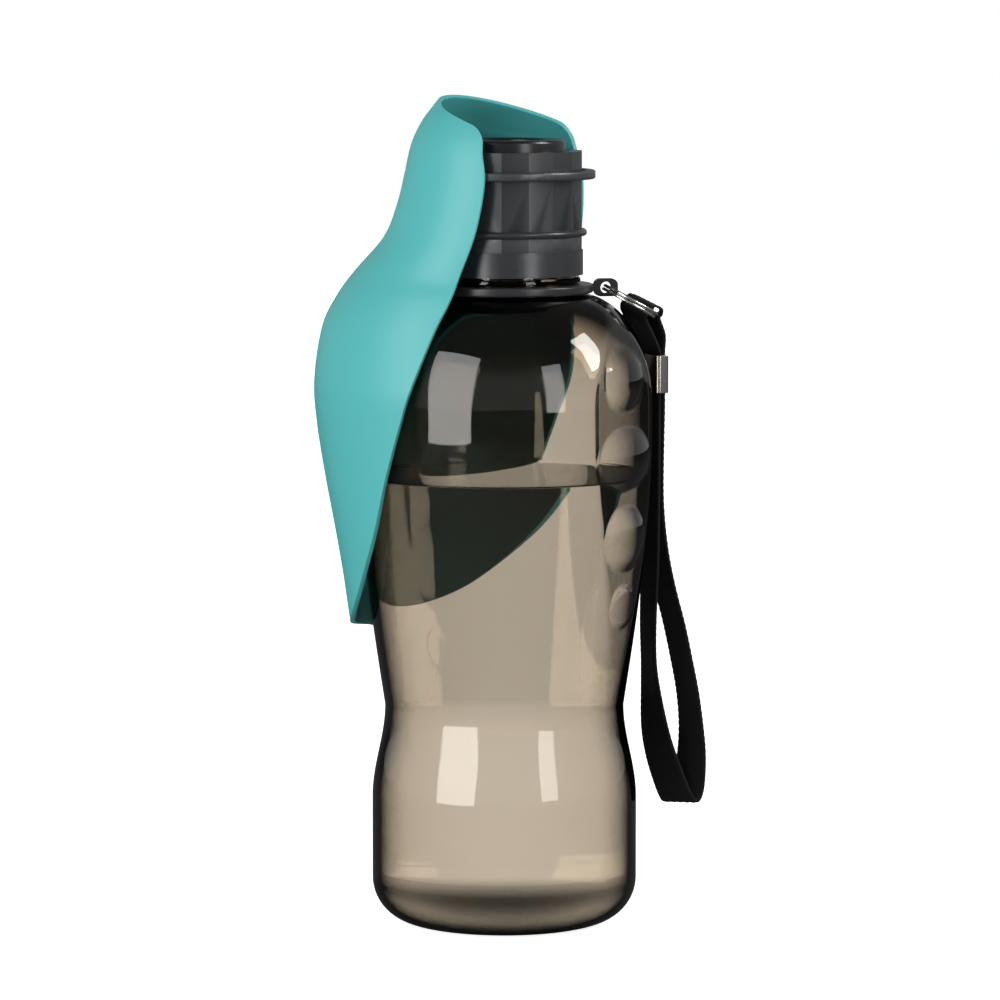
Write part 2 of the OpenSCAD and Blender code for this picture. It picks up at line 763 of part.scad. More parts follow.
// The small loop rises from the crimp, passes up through the split ring and over its wire.
// Inside the ring it stands off the wire, which curves in over the webbing's width
module strap_top_loop() {
    out = [cos(key_hang) * cos(key_tilt), sin(key_hang), -cos(key_hang) * sin(key_tilt)];
    up = [sin(key_tilt), 0, cos(key_tilt)];
    across = [-sin(key_hang) * cos(key_tilt), cos(key_hang), sin(key_hang) * sin(key_tilt)];
    wire = [ear_r, 0, ear_z] + key_r * ([cos(key_tilt), 0, -sin(key_tilt)] + out);
    clear_r = key_r - key_wire_w / 2 - seat_gap;
    inside = key_r - sqrt(clear_r * clear_r - strap_w * strap_w / 4) + strap_t / 2;
    outside = key_wire_w / 2 + strap_t / 2 + seat_gap;
    above = key_wire_t + key_gap / 2 + strap_t / 2 + seat_gap;
    below = 2.6;
    side = (strap_t + strap_gap) / 2 * [cos(crimp_turn), sin(crimp_turn), 0];
    foot = [crimp_at[0], crimp_at[1], crimp_mid_z + fit_gap];
    mouth = foot + [0, 0, crimp_l / 2 - 1];
    top = foot + [0, 0, crimp_l / 2 + 1];
    flat = width_at(crimp_turn, 0);
    half = unit(flat + across);
    bulge = [1.2, 0.2, 0];
    stations = [
        [foot - side, flat],
        [mouth - side, flat],
        [top - side, flat],
        [lerp(top - side, wire - inside * out - below * up, 0.5), half],
        [wire - inside * out - below * up, across],
        [wire - inside * out, across],
        [wire - 0.85 * inside * out + 0.75 * above * up, across],
        [wire - 0.2 * inside * out + above * up, across],
        [wire + 0.6 * outside * out + above * up, across],
        [wire + 1.2 * outside * out + 0.35 * above * up, across],
        [wire + 1.2 * outside * out - 0.7 * up, across],
        [lerp(top + side, wire + outside * out - above * up, 0.55) + bulge, half],
        [top + side, flat],
        [mouth + side, flat],
        [foot + side, flat]
    ];
    places = smoothed([for (s = stations) s[0]], 3);
    widths = smoothed([for (s = stations) s[1]], 3);
    webbing([for (i = [0 : len(places) - 1]) [places[i], widths[i]]]);
}

module strap_crimp() {
    slot_w = strap_w + 2 * strap_in_crimp;
    slot_t = 2 * strap_t + strap_gap + 2 * strap_in_crimp;
    color([0.8, 0.81, 0.83])
        rotate(lanyard_turn)
            translate([crimp_at[0], crimp_at[1], crimp_mid_z])
                rotate(crimp_turn)
                    linear_extrude(crimp_l, center = true)
                        difference() {
                            rounded_box(slot_t + 2 * crimp_wall, slot_w + 2 * crimp_wall, 1);
                            rounded_box(slot_t, slot_w, 0.3);
                        }
}

bottle_body();
cap_gasket();
screw_cap();
slit_valve();
valve_retainer();
stop_band();
hinge_ring();
drinking_leaf();
lanyard_collar();
split_ring();
strap_top_loop();
strap_crimp();
wrist_strap();
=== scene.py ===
# %% [markdown]
# # A dog travel water bottle
# A smoked see-through bottle, half full of water, carries a dark screw cap. A leaf-shaped drinking
# trough hangs on a ring round the cap, and a wrist strap hangs from a collar round the neck.
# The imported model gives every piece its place. This script loads it, keeps the pieces that already
# look right, and builds finer ones where the eye needs them: the clear bottle, the thin leaf, the
# webbing and the small metal parts.

# %% Load the model
import math

import bmesh
import bpy
import numpy as np
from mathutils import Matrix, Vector


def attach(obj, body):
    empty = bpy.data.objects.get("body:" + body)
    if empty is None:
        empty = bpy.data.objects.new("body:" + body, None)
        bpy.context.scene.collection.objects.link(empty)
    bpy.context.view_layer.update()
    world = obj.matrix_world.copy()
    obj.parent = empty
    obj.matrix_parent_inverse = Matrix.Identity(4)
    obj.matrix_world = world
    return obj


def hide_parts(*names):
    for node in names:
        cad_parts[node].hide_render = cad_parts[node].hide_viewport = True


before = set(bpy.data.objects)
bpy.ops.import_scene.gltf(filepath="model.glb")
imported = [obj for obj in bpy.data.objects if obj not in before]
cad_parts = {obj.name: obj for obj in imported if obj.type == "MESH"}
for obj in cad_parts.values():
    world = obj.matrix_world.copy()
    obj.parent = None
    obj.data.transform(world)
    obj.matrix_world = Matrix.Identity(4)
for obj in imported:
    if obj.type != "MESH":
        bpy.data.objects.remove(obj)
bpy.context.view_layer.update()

# %% [markdown]
# ## The camera
# The bottle was photographed a little from above with a long lens. The field of view follows from
# how much of the scene the frame spans at the bottle's distance.

# %% Camera
SENSOR = 36
CAMERA_TURN = math.radians(32)
CAMERA_RISE = math.radians(5.9)
CAMERA_DISTANCE = 1.4
FRAME_SPAN = 0.2715
TARGET = Vector((-0.001, -0.0006, 0.1152))


def direction_from(turn, rise):
    """Direction to a place that is turned about the upright from the front, and raised."""
    level = math.cos(rise)
    return Vector((math.sin(turn) * level, -math.cos(turn) * level, math.sin(rise)))


def in_scene(name, data):
    """An object in the scene, with its mesh, lamp or camera."""
    made = bpy.data.objects.new(name, data)
    scene.collection.objects.link(made)
    return made


scene = bpy.context.scene
toward_camera = direction_from(CAMERA_TURN, CAMERA_RISE)
camera = in_scene("camera", bpy.data.cameras.new("camera"))
scene.camera = camera
camera.location = TARGET + CAMERA_DISTANCE * toward_camera
camera.rotation_euler = toward_camera.to_track_quat("Z", "Y").to_euler()
camera.data.sensor_width = SENSOR
camera.data.lens = SENSOR * CAMERA_DISTANCE / FRAME_SPAN
camera.data.clip_start = 0.01
print("lens", round(camera.data.lens, 1), "mm")

# %% [markdown]
# ## The webbing
# The wrist strap is flat black polyester webbing, 10 mm wide and seen from end to end: both ends go
# up into the metal crimp. Its route is a given list of points, each with the turn of the
# webbing's width about the upright, the same list that its solid in the model follows. A cloth
# simulation could hang it too, but a list holds the turns that the eye knows from the real strap.

# %% Route of the wrist strap
MM = 0.001
STRAP_WIDTH = 10 * MM
STRAP_THICKNESS = 1.1 * MM
LANYARD_TURN = math.radians(40)
HAND_PARTS = 6
HAND_ROUTE = [
    (41.89, 9.06, 148.5, 20), (41.89, 9.06, 139, 20), (41.6, 7.8, 126, 20), (41.4, 7.1, 112, 20),
    (41.3, 7.1, 96, 18), (41.05, 7.9, 80, 15), (41.4, 8.7, 69, 14), (42.2, 9.5, 60, 23),
    (43.5, 10.3, 50, 40), (45.5, 10.9, 42, 53), (48.0, 11.4, 34.9, 63), (49.8, 11.8, 30.8, 70),
    (51.1, 12.4, 29.5, 72), (52.4, 13.1, 30.7, 68), (53.6, 13.5, 35.3, 55), (54.3, 13.5, 43, 42),
    (54.0, 13.0, 51, 32), (52.9, 12.4, 60, 28), (51.1, 11.8, 69, 27), (48.9, 11.3, 79, 27),
    (46.1, 11.2, 90, 26), (44.1, 11.2, 101, 24), (43.1, 11.2, 114, 21), (43.11, 10.5, 130, 20),
    (43.11, 9.5, 139, 20), (43.11, 9.5, 148.5, 20),
]


def smoothed(values, parts):
    """Points on the smooth curve through a list of points."""
    values = np.asarray(values, float)
    padded = np.concatenate([values[:1], values, values[-1:]])
    rows = []
    for a, b, c, d in zip(padded, padded[1:], padded[2:], padded[3:]):
        for t in np.arange(parts) / parts:
            rows.append(b + (c - a) * t / 2 + (a - 2.5 * b + 2 * c - d / 2) * t * t
                        + (3 * b - a - 3 * c + d) * t ** 3 / 2)
    rows.append(values[-1])
    return np.array(rows)


def unit(vectors):
    """The vectors at length 1."""
    return vectors / np.linalg.norm(vectors, axis=-1, keepdims=True)


def about_upright(points, angle):
    """Points turned about the upright axis."""
    c, s = math.cos(angle), math.sin(angle)
    return np.asarray(points) @ np.array([[c, s, 0], [-s, c, 0], [0, 0, 1]])


def in_lanyard_frame(points):
    """Turns points of the lanyard's own frame to the bottle's frame."""
    return about_upright(points, LANYARD_TURN)


def length_along(points):
    """Length of a line through points."""
    return float(np.linalg.norm(np.diff(points, axis=0), axis=1).sum())


route = smoothed(HAND_ROUTE, HAND_PARTS)
turns = np.radians(route[:, 3])
hand_points = in_lanyard_frame(route[:, :3] * MM)
hand_across = in_lanyard_frame(np.stack([-np.sin(turns), np.cos(turns), 0 * turns], axis=1))

# %% [markdown]
# The small loop leaves the top of the crimp, goes up through the split ring and comes down again.
# Its places are worked out from the ring, as in the model: through the ring's hole, over its wire,
# and back to the crimp.

# %% Route of the top loop
NECK_TOP_OF_SHOULDER = 171.4
EAR_R = 27.7
EAR_Z = NECK_TOP_OF_SHOULDER + 0.3 + 1.1
KEY_R = 7.8
KEY_WIRE_W = 1.3
KEY_WIRE_T = 0.85
KEY_GAP = 0.15
KEY_TILT = math.radians(28)
KEY_HANG = math.radians(45)
CRIMP_AT = np.array([42.5, 9.28, 148.6])
CRIMP_TURN = math.radians(20)
CRIMP_LENGTH = 10.3
SEAT_GAP = 0.3
RUN_GAP = 0.2
FOOT_LIFT = 0.1
LOOP_PARTS = 8


def top_loop_stations():
    """Places and widths of the loop in the lanyard's frame, in millimetres."""
    out = np.array([math.cos(KEY_HANG) * math.cos(KEY_TILT), math.sin(KEY_HANG),
                    -math.cos(KEY_HANG) * math.sin(KEY_TILT)])
    up = np.array([math.sin(KEY_TILT), 0, math.cos(KEY_TILT)])
    over = np.array([-math.sin(KEY_HANG) * math.cos(KEY_TILT), math.cos(KEY_HANG),
                     math.sin(KEY_HANG) * math.sin(KEY_TILT)])
    centre = np.array([math.cos(KEY_TILT), 0, -math.sin(KEY_TILT)])
    wire = np.array([EAR_R, 0, EAR_Z]) + KEY_R * (centre + out)
    width, thick = STRAP_WIDTH / MM, STRAP_THICKNESS / MM
    clear_r = KEY_R - KEY_WIRE_W / 2 - SEAT_GAP
    inside = KEY_R - math.sqrt(clear_r ** 2 - width ** 2 / 4) + thick / 2
    outside = KEY_WIRE_W / 2 + thick / 2 + SEAT_GAP
    above = KEY_WIRE_T + KEY_GAP / 2 + thick / 2 + SEAT_GAP
    below = 2.6
    side = (thick + RUN_GAP) / 2 * np.array([math.cos(CRIMP_TURN), math.sin(CRIMP_TURN), 0])
    foot = CRIMP_AT + (0, 0, FOOT_LIFT)
    mouth = foot + (0, 0, CRIMP_LENGTH / 2 - 1)
    top = foot + (0, 0, CRIMP_LENGTH / 2 + 1)
    flat = np.array([-math.sin(CRIMP_TURN), math.cos(CRIMP_TURN), 0])
    half = unit(flat + over)
    entry = wire - inside * out - below * up
    landing = 0.45 * (top + side) + 0.55 * (wire + outside * out - above * up) + (1.2, 0.2, 0)
    round_wire = [
        (-inside, 0), (-0.85 * inside, 0.75 * above), (-0.2 * inside, above),
        (0.6 * outside, above), (1.2 * outside, 0.35 * above), (1.2 * outside, -0.7),
    ]
    stations = [
        (foot - side, flat), (mouth - side, flat), (top - side, flat),
        ((top - side + entry) / 2, half),
        (entry, over),
        *[(wire + outward * out + upward * up, over) for outward, upward in round_wire],
        (landing, half),
        (top + side, flat), (mouth + side, flat), (foot + side, flat),
    ]
    return [s[0] for s in stations], [s[1] for s in stations]


loop_places, loop_widths = top_loop_stations()
loop_points = in_lanyard_frame(smoothed(loop_places, LOOP_PARTS) * MM)
loop_across = in_lanyard_frame(smoothed(loop_widths, LOOP_PARTS))
print("top loop", round(length_along(loop_points), 4), "m")

# %% [markdown]
# Webbing is woven: thick warp threads run along it and a fine weft crosses them, so its faces show
# small ribs and its edges are round. A bump in the material would leave the outline smooth, so a
# Geometry Nodes tree makes the ribs real: it sweeps a round-edged section along any route, holds
# the width in the direction that each point gives, and presses the weave into the surface. The
# threads are drawn 0.9 mm apart, a little coarser than real ones, so that they show at this size.
#
# One function adds a node of any kind with its settings and links, in every tree of this file.

# %% Webbing tree
THREAD_SPACING = 0.9 * MM
THREAD_DEPTH = 0.07 * MM
SECTION_POINTS = 40
RINGS_PER_THREAD = 4.0
EDGE_ROUNDING = 0.42


def add_node(tree, kind, inputs=None, **settings):
    """A node with its settings. An input takes a value, a socket, or a node's first output."""
    made = tree.nodes.new(kind)
    for name, value in settings.items():
        setattr(made, name, value)
    for key, value in (inputs or {}).items():
        if isinstance(value, bpy.types.Node):
            value = value.outputs[0]
        if isinstance(value, bpy.types.NodeSocket):
            tree.links.new(value, made.inputs[key])
        else:
            made.inputs[key].default_value = value
    return made


def new_tree(name, inputs):
    """A geometry tree, and its group input with the named numbers and the material."""
    tree = bpy.data.node_groups.new(name, "GeometryNodeTree")
    tree.interface.new_socket("Geometry", in_out="INPUT", socket_type="NodeSocketGeometry")
    tree.interface.new_socket("Geometry", in_out="OUTPUT", socket_type="NodeSocketGeometry")
    for label, value in inputs.items():
        kind = "NodeSocketMaterial" if isinstance(value, bpy.types.Material) else "NodeSocketFloat"
        socket = tree.interface.new_socket(label, in_out="INPUT", socket_type=kind)
        if kind == "NodeSocketFloat":
            socket.default_value = value
    return tree, add_node(tree, "NodeGroupInput").outputs


def finish_tree(tree, source, geometry):
    """Ends a tree in real, smooth geometry with the material that its input names."""
    smooth = add_node(tree, "GeometryNodeSetShadeSmooth", {"Geometry": geometry})
    real = add_node(tree, "GeometryNodeRealizeInstances", {"Geometry": smooth})
    painted = add_node(tree, "GeometryNodeSetMaterial", {
        "Geometry": real, "Material": source["Material"]})
    add_node(tree, "NodeGroupOutput", {0: painted})
    print(tree.name, len(tree.nodes), "nodes")
    return tree


def flat_section(tree, width, thickness, corner):
    """A rectangle with round corners, as a curve."""
    section = add_node(tree, "GeometryNodeCurvePrimitiveQuadrilateral", {
        "Width": width, "Height": thickness})
    return add_node(tree, "GeometryNodeFilletCurve", {
        "Curve": section, "Radius": corner, "Count": 3}, mode="POLY")


def webbing_tree():
    """Sweeps the webbing's section along a route and presses the weave into it."""
    inputs = {"Width": STRAP_WIDTH, "Thickness": STRAP_THICKNESS, "Thread spacing": THREAD_SPACING,
              "Thread depth": THREAD_DEPTH, "Material": webbing}
    tree, source = new_tree("woven_webbing", inputs)
    line = add_node(tree, "GeometryNodeMeshToCurve", {"Mesh": source["Geometry"]})
    across = add_node(tree, "GeometryNodeInputNamedAttribute", {
        "Name": "across"}, data_type="FLOAT_VECTOR")
    turned = add_node(tree, "GeometryNodeSetCurveNormal", {
        "Curve": line, "Normal": across}, mode="FREE")
    ring_gap = add_node(tree, "ShaderNodeMath", {
        0: source["Thread spacing"], 1: RINGS_PER_THREAD}, operation="DIVIDE")
    dense = add_node(tree, "GeometryNodeResampleCurve", {
        "Curve": turned, "Length": ring_gap}, mode="LENGTH")
    along = add_node(tree, "GeometryNodeSplineParameter")
    rail = add_node(tree, "GeometryNodeCaptureAttribute", {"Geometry": dense}, domain="POINT")
    rail.capture_items.new("FLOAT", "Along")
    tree.links.new(along.outputs["Length"], rail.inputs["Along"])
    corner = add_node(tree, "ShaderNodeMath", {
        0: source["Thickness"], 1: EDGE_ROUNDING}, operation="MULTIPLY")
    rounded = flat_section(tree, source["Width"], source["Thickness"], corner)
    even = add_node(tree, "GeometryNodeResampleCurve", {
        "Curve": rounded, "Count": SECTION_POINTS})
    place = add_node(tree, "GeometryNodeInputPosition")
    side = add_node(tree, "ShaderNodeSeparateXYZ", {0: place})
    profile = add_node(tree, "GeometryNodeCaptureAttribute", {"Geometry": even}, domain="POINT")
    profile.capture_items.new("FLOAT", "Across")
    tree.links.new(side.outputs["X"], profile.inputs["Across"])
    swept = add_node(tree, "GeometryNodeCurveToMesh", {
        "Curve": rail, "Profile Curve": profile, "Fill Caps": True})
    pitch = add_node(tree, "ShaderNodeMath", {
        0: math.pi, 1: source["Thread spacing"]}, operation="DIVIDE")
    along_turns = add_node(tree, "ShaderNodeMath", {
        0: rail.outputs["Along"], 1: pitch}, operation="MULTIPLY")
    across_turns = add_node(tree, "ShaderNodeMath", {
        0: profile.outputs["Across"], 1: pitch}, operation="MULTIPLY")
    weft = add_node(tree, "ShaderNodeMath", {0: along_turns}, operation="SINE")
    warp = add_node(tree, "ShaderNodeMath", {0: across_turns}, operation="COSINE")
    ribs = add_node(tree, "ShaderNodeMath", {0: weft, 1: warp}, operation="MULTIPLY")
    sunk = add_node(tree, "ShaderNodeMath", {0: ribs, 1: 1.0}, operation="SUBTRACT")
    height = add_node(tree, "ShaderNodeMath", {
        0: sunk, 1: source["Thread depth"]}, operation="MULTIPLY")
    normal = add_node(tree, "GeometryNodeInputNormal")
    push = add_node(tree, "ShaderNodeVectorMath", {
        0: normal, "Scale": height}, operation="SCALE")
    woven = add_node(tree, "GeometryNodeSetPosition", {"Geometry": swept, "Offset": push})
    return finish_tree(tree, source, woven)


def grown(name, start, tree, **inputs):
    """Runs a tree on a starting mesh and keeps the result as a plain mesh piece."""
    carrier = in_scene(name + "_start", start)
    modifier = carrier.modifiers.new("grow", "NODES")
    modifier.node_group = tree
    sockets = {item.name: item.identifier for item in tree.interface.items_tree
               if item.item_type == "SOCKET" and item.in_out == "INPUT"}
    for label, value in inputs.items():
        modifier[sockets[label]] = value
    ready = carrier.evaluated_get(bpy.context.evaluated_depsgraph_get())
    mesh = bpy.data.meshes.new_from_object(ready)
    mesh.name = name
    bpy.data.objects.remove(carrier)
    return in_scene(name, mesh)


def route_mesh(name, points, across):
    """A line of points with the direction of the webbing's width kept on each."""
    mesh = bpy.data.meshes.new(name)
    mesh.from_pydata([tuple(p) for p in points], [(i, i + 1) for i in range(len(points) - 1)], [])
    kept = mesh.attributes.new("across", "FLOAT_VECTOR", "POINT")
    kept.data.foreach_set("vector", unit(across).astype(np.float32).ravel())
    return mesh


# %% [markdown]
# Black polyester webbing is dull, with a faint sheen where threads catch the light at a low angle.
# Its roughness is high, the sheen is low, and a fine noise breaks the black up into fibres. Every
# colour in this file is written as the hex value that the eye sees and turned to linear light once,
# and every grain is as large as its real size in millimetres.

# %% Webbing material
GRAIN_STRENGTH = 0.5
CLOUDS_PER_METRE = 60


def colour(text):
    """Linear RGBA of an sRGB hex colour."""
    parts = [int(text[i:i + 2], 16) / 255 for i in (1, 3, 5)]
    return tuple(p / 12.92 if p <= 0.04045 else ((p + 0.055) / 1.055) ** 2.4 for p in parts) + (1.0,)


def emptied(block):
    """The empty node tree of a new material or world."""
    block.use_nodes = True
    block.node_tree.nodes.clear()
    return block.node_tree


def plain_material(name, hex_colour, roughness, **inputs):
    """A Principled material, whose shader and output are found in its tree by name."""
    made = bpy.data.materials.new(name)
    tree = emptied(made)
    shader = add_node(tree, "ShaderNodeBsdfPrincipled", {
        "Base Color": colour(hex_colour), "Roughness": roughness, **inputs}, name="finish")
    add_node(tree, "ShaderNodeOutputMaterial", {"Surface": shader}, name="output")
    print("finish", name)
    return made


def grained(material, size, depth, tint=0.0, roughness_swing=0.0):
    """Gives a moulded surface its fine grain, a faint unevenness of colour and of gloss."""
    tree = material.node_tree
    shader = tree.nodes["finish"]
    place = add_node(tree, "ShaderNodeTexCoord").outputs["Object"]
    grain = add_node(tree, "ShaderNodeTexNoise", {"Vector": place, "Scale": 1 / size, "Detail": 3})
    bump = add_node(tree, "ShaderNodeBump", {
        "Height": grain, "Distance": depth, "Strength": GRAIN_STRENGTH})
    tree.links.new(bump.outputs["Normal"], shader.inputs["Normal"])
    cloud = add_node(tree, "ShaderNodeTexNoise", {
        "Vector": place, "Scale": CLOUDS_PER_METRE, "Detail": 4})
    if tint:
        base = tuple(shader.inputs["Base Color"].default_value)
        deep = tuple(c * (1 - tint) for c in base[:3]) + (1,)
        mixed = add_node(tree, "ShaderNodeMix", {
            "Factor": cloud, 6: deep, 7: base}, data_type="RGBA")
        tree.links.new(mixed.outputs[2], shader.inputs["Base Color"])
    if roughness_swing:
        middle = shader.inputs["Roughness"].default_value
        swung = add_node(tree, "ShaderNodeMapRange", {
            "Value": cloud, "To Min": middle - roughness_swing,
            "To Max": middle + roughness_swing})
        tree.links.new(swung.outputs["Result"], shader.inputs["Roughness"])


webbing = plain_material("woven_polyester", "#17181A", 0.8, **{
    "Sheen Weight": 0.06, "Sheen Roughness": 0.4, "Specular IOR Level": 0.2})
grained(webbing, 0.25 * MM, 0.05 * MM, tint=0.35)

# %% Wrist strap and top loop
def placed(piece, body, slot, *nodes):
    """Lets a finished piece ride on its body and stand for CAD nodes. Its slot is not used."""
    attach(piece, body)
    if nodes:
        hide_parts(*nodes)
    triangles = sum(len(p.vertices) - 2 for p in piece.data.polygons)
    print(piece.name, triangles, "triangles")


weave = webbing_tree()
hand_line = route_mesh("hand_route", hand_points, hand_across)
loop_line = route_mesh("loop_route", loop_points, loop_across)
wrist_strap = grown("wrist_strap_webbing", hand_line, weave, Material=webbing)
top_loop = grown("top_loop_webbing", loop_line, weave, Material=webbing)
placed(wrist_strap, "strap", "webbing", "wrist_strap")
placed(top_loop, "strap", "webbing", "strap_top_loop")

# %% [markdown]
# ## The bottle
# A bottle like this is blow moulded in clear, smoke-tinted plastic, about 1.5 mm thick. A profile
# could be spun with the Screw modifier, but the flat panel and its pads break the round. So each
# surface is a grid of rings, with more columns where the panel is. What makes clear plastic look
# real is light bending through two true surfaces, so the outside and the inside are both built from
# the same curves: a round heel, a bulge, a waist crease, a long sweep to the chest and a quarter
# ellipse for the shoulder. The panel is cut across one side, and four finger pads swell out of it.

# %% Sizes of the bottle, in millimetres
BASE_R = 36
WAIST_R = 32.5
CHEST_R = 40
HEEL_R = 12
BULGE_Z = 34
WAIST_Z = 59.6
CHEST_Z = 136
SHOULDER_Z = 142
NECK_Z = NECK_TOP_OF_SHOULDER
NECK_R = 19
NECK_BORE_R = 17
RIM_Z = 193
WALL = 1.5
PUNT_H = 4
STAND_R = BASE_R - HEEL_R
PUNT_R = STAND_R - 3.5
BEAD_Z = 174.4
BEAD_OUT = 1.6
BEAD_H = 1.6
PANEL_TURN = math.radians(4)
PANEL_X = 36.7
PANEL_FALL = 2.5
PANEL_LOW_Z = 70.6
PANEL_MID_Z = 117.3
PANEL_HIGH_Z = 162
PANEL_LOW_POWER = 2.35
PANEL_HIGH_POWER = 7
PANEL_OVER = 4
PANEL_HALF_ARC = 28
PAD_RISE = 2.4
PAD_LOW_Z = 88.4
# height above the lowest pad, half height, and margin to the panel's edge
PADS = [(0, 5.7, 0.5), (18.2, 8.8, 0.4), (39.6, 8.5, 0.8), (60, 7.8, 5)]
EDGE_SOFTNESS = 0.4
PAD_SOFTNESS = 0.2
PANEL_COLUMNS = 100
REST_COLUMNS = 100
PUNT_ROWS, HEEL_ROWS, SHOULDER_ROWS = 10, 16, 34
# from a height, to a height, rows of points
SIDE_STAGES = [(HEEL_R, BULGE_Z, 6), (BULGE_Z, WAIST_Z, 22), (WAIST_Z, CHEST_Z, 120),
               (CHEST_Z, SHOULDER_Z, 14)]
print("bottle", 2 * CHEST_R, "mm wide and", RIM_Z, "mm tall, with", len(PADS), "pads")


# %% Side, panel and pads
def body_r(z):
    """Outer radius between the heel and the shoulder."""
    fall = (1 - np.cos(np.pi * (z - BULGE_Z) / (WAIST_Z - BULGE_Z))) / 2
    waist = BASE_R + (WAIST_R - BASE_R) * fall
    sweep = WAIST_R + (CHEST_R - WAIST_R) * np.sin(np.pi / 2 * (z - WAIST_Z) / (CHEST_Z - WAIST_Z))
    upper = np.where(z <= CHEST_Z, sweep, CHEST_R)
    return np.where(z <= BULGE_Z, BASE_R, np.where(z <= WAIST_Z, waist, upper))


def panel_face(z):
    """How far out the panel's face lies at a height."""
    low = np.clip((PANEL_MID_Z - z) / (PANEL_MID_Z - PANEL_LOW_Z), 0, None) ** PANEL_LOW_POWER
    high = np.clip((z - PANEL_MID_Z) / (PANEL_HIGH_Z - PANEL_MID_Z), 0, None) ** PANEL_HIGH_POWER
    return PANEL_X - PANEL_FALL * (low + high)


def soft_least(a, b, softness):
    """The smaller of two, blended over a narrow band as a moulded edge is."""
    h = np.clip(0.5 + 0.5 * (b - a) / softness, 0, 1)
    return b + (a - b) * h - softness * h * (1 - h)


def panel_surface(y, z, inset):
    """The panel with its pads, moved in by a wall."""
    surface = panel_face(z) - inset
    for up, half_h, margin in PADS:
        pad_z = PAD_LOW_Z + up
        face = float(panel_face(np.array(pad_z)))
        half_w = max(math.sqrt(float(body_r(np.array(pad_z))) ** 2 - face ** 2) - margin, half_h)
        up_r = (half_h ** 2 + PAD_RISE ** 2) / (2 * PAD_RISE)
        across_r = (half_w ** 2 + PAD_RISE ** 2) / (2 * PAD_RISE)
        ring = across_r - up_r + np.sqrt(np.clip((up_r - inset) ** 2 - (z - pad_z) ** 2, 0, None))
        pad = face + PAD_RISE - across_r + np.sqrt(np.clip(ring ** 2 - y ** 2, 0, None))
        pad = np.where(abs(z - pad_z) < up_r - inset, pad, 0)
        surface = -soft_least(-surface, -pad, PAD_SOFTNESS)
    return surface


print("panel's face at its middle", round(float(panel_face(np.array(PANEL_MID_Z))), 2), "mm out")


# %% Rings of the bottle
def ring_columns():
    """Angles round the bottle, close together across the panel and wider elsewhere."""
    dense = np.linspace(-PANEL_HALF_ARC, PANEL_HALF_ARC, PANEL_COLUMNS, endpoint=False)
    wide = np.linspace(PANEL_HALF_ARC, 360 - PANEL_HALF_ARC, REST_COLUMNS, endpoint=False)
    return np.radians(np.concatenate([dense, wide]))


def side_profile(inset, root):
    """Radius and height of each ring from the middle of the base to the top of the shoulder."""
    t = np.linspace(0, 1, PUNT_ROWS)[1:]
    base = np.stack([PUNT_R * t, PUNT_H * (1 + np.cos(np.pi * t)) / 2 + inset], axis=1)
    a = np.linspace(-np.pi / 2, 0, HEEL_ROWS)
    heel = np.stack([STAND_R + (HEEL_R - inset) * np.cos(a),
                     HEEL_R + (HEEL_R - inset) * np.sin(a)], axis=1)
    z = np.concatenate([np.linspace(*stage)[1:] for stage in SIDE_STAGES])
    side = np.stack([body_r(z) - inset, z], axis=1)
    b = np.linspace(0, np.pi / 2, SHOULDER_ROWS)[1:]
    shoulder = np.stack([root + (CHEST_R - inset - root) * np.cos(b),
                         SHOULDER_Z + (NECK_Z - SHOULDER_Z - inset) * np.sin(b)], axis=1)
    return np.concatenate([base, heel, side, shoulder])


def ring_points(profile, angles, inset):
    """Rings of points at each radius and height, cut by the panel where it crosses them."""
    r, z = profile[:, :1], profile[:, 1:]
    x, y = r * np.cos(angles), r * np.sin(angles)
    cut = soft_least(x, panel_surface(y, z, inset), EDGE_SOFTNESS)
    inside_panel = (z > PANEL_LOW_Z - PANEL_OVER) & (z < PANEL_HIGH_Z + PANEL_OVER) & (x > 0)
    x = np.where(inside_panel, cut, x)
    c, s = math.cos(PANEL_TURN), math.sin(PANEL_TURN)
    return np.stack([x * c - y * s, x * s + y * c, z + 0 * x], axis=-1) * MM


columns = ring_columns()
print("rings of", len(columns), "points")


# %% Closed skins
def grid_faces(rows, columns):
    """Quads between rows of points that are closed rings of the same number of columns."""
    return [
        (i * columns + j, i * columns + (j + 1) % columns,
         (i + 1) * columns + (j + 1) % columns, (i + 1) * columns + j)
        for i in range(rows - 1) for j in range(columns)
    ]


def smooth_shaded(piece, sharp_degrees):
    """Shades a piece smooth but for its true edges."""
    piece.data.shade_smooth()
    piece.data.set_sharp_from_angle(angle=math.radians(sharp_degrees))


def mesh_piece(name, points, faces, material, sharp_degrees=40):
    """A smooth-shaded piece from points and faces, with its true edges kept sharp."""
    mesh = bpy.data.meshes.new(name)
    mesh.from_pydata([tuple(p) for p in points], [], faces)
    mesh.validate()
    mesh.materials.append(material)
    piece = in_scene(name, mesh)
    smooth_shaded(piece, sharp_degrees)
    return piece


def closed_rings(name, rings, low_pole, high_pole, material):
    """A closed skin over rings that starts and ends at a pole."""
    count, columns = rings.shape[:2]
    points = np.concatenate([rings.reshape(-1, 3), [low_pole, high_pole]])
    low, high = count * columns, count * columns + 1
    faces = grid_faces(count, columns)
    faces += [((j + 1) % columns, j, low) for j in range(columns)]
    last = (count - 1) * columns
    faces += [(last + j, last + (j + 1) % columns, high) for j in range(columns)]
    return mesh_piece(name, points, faces, material)
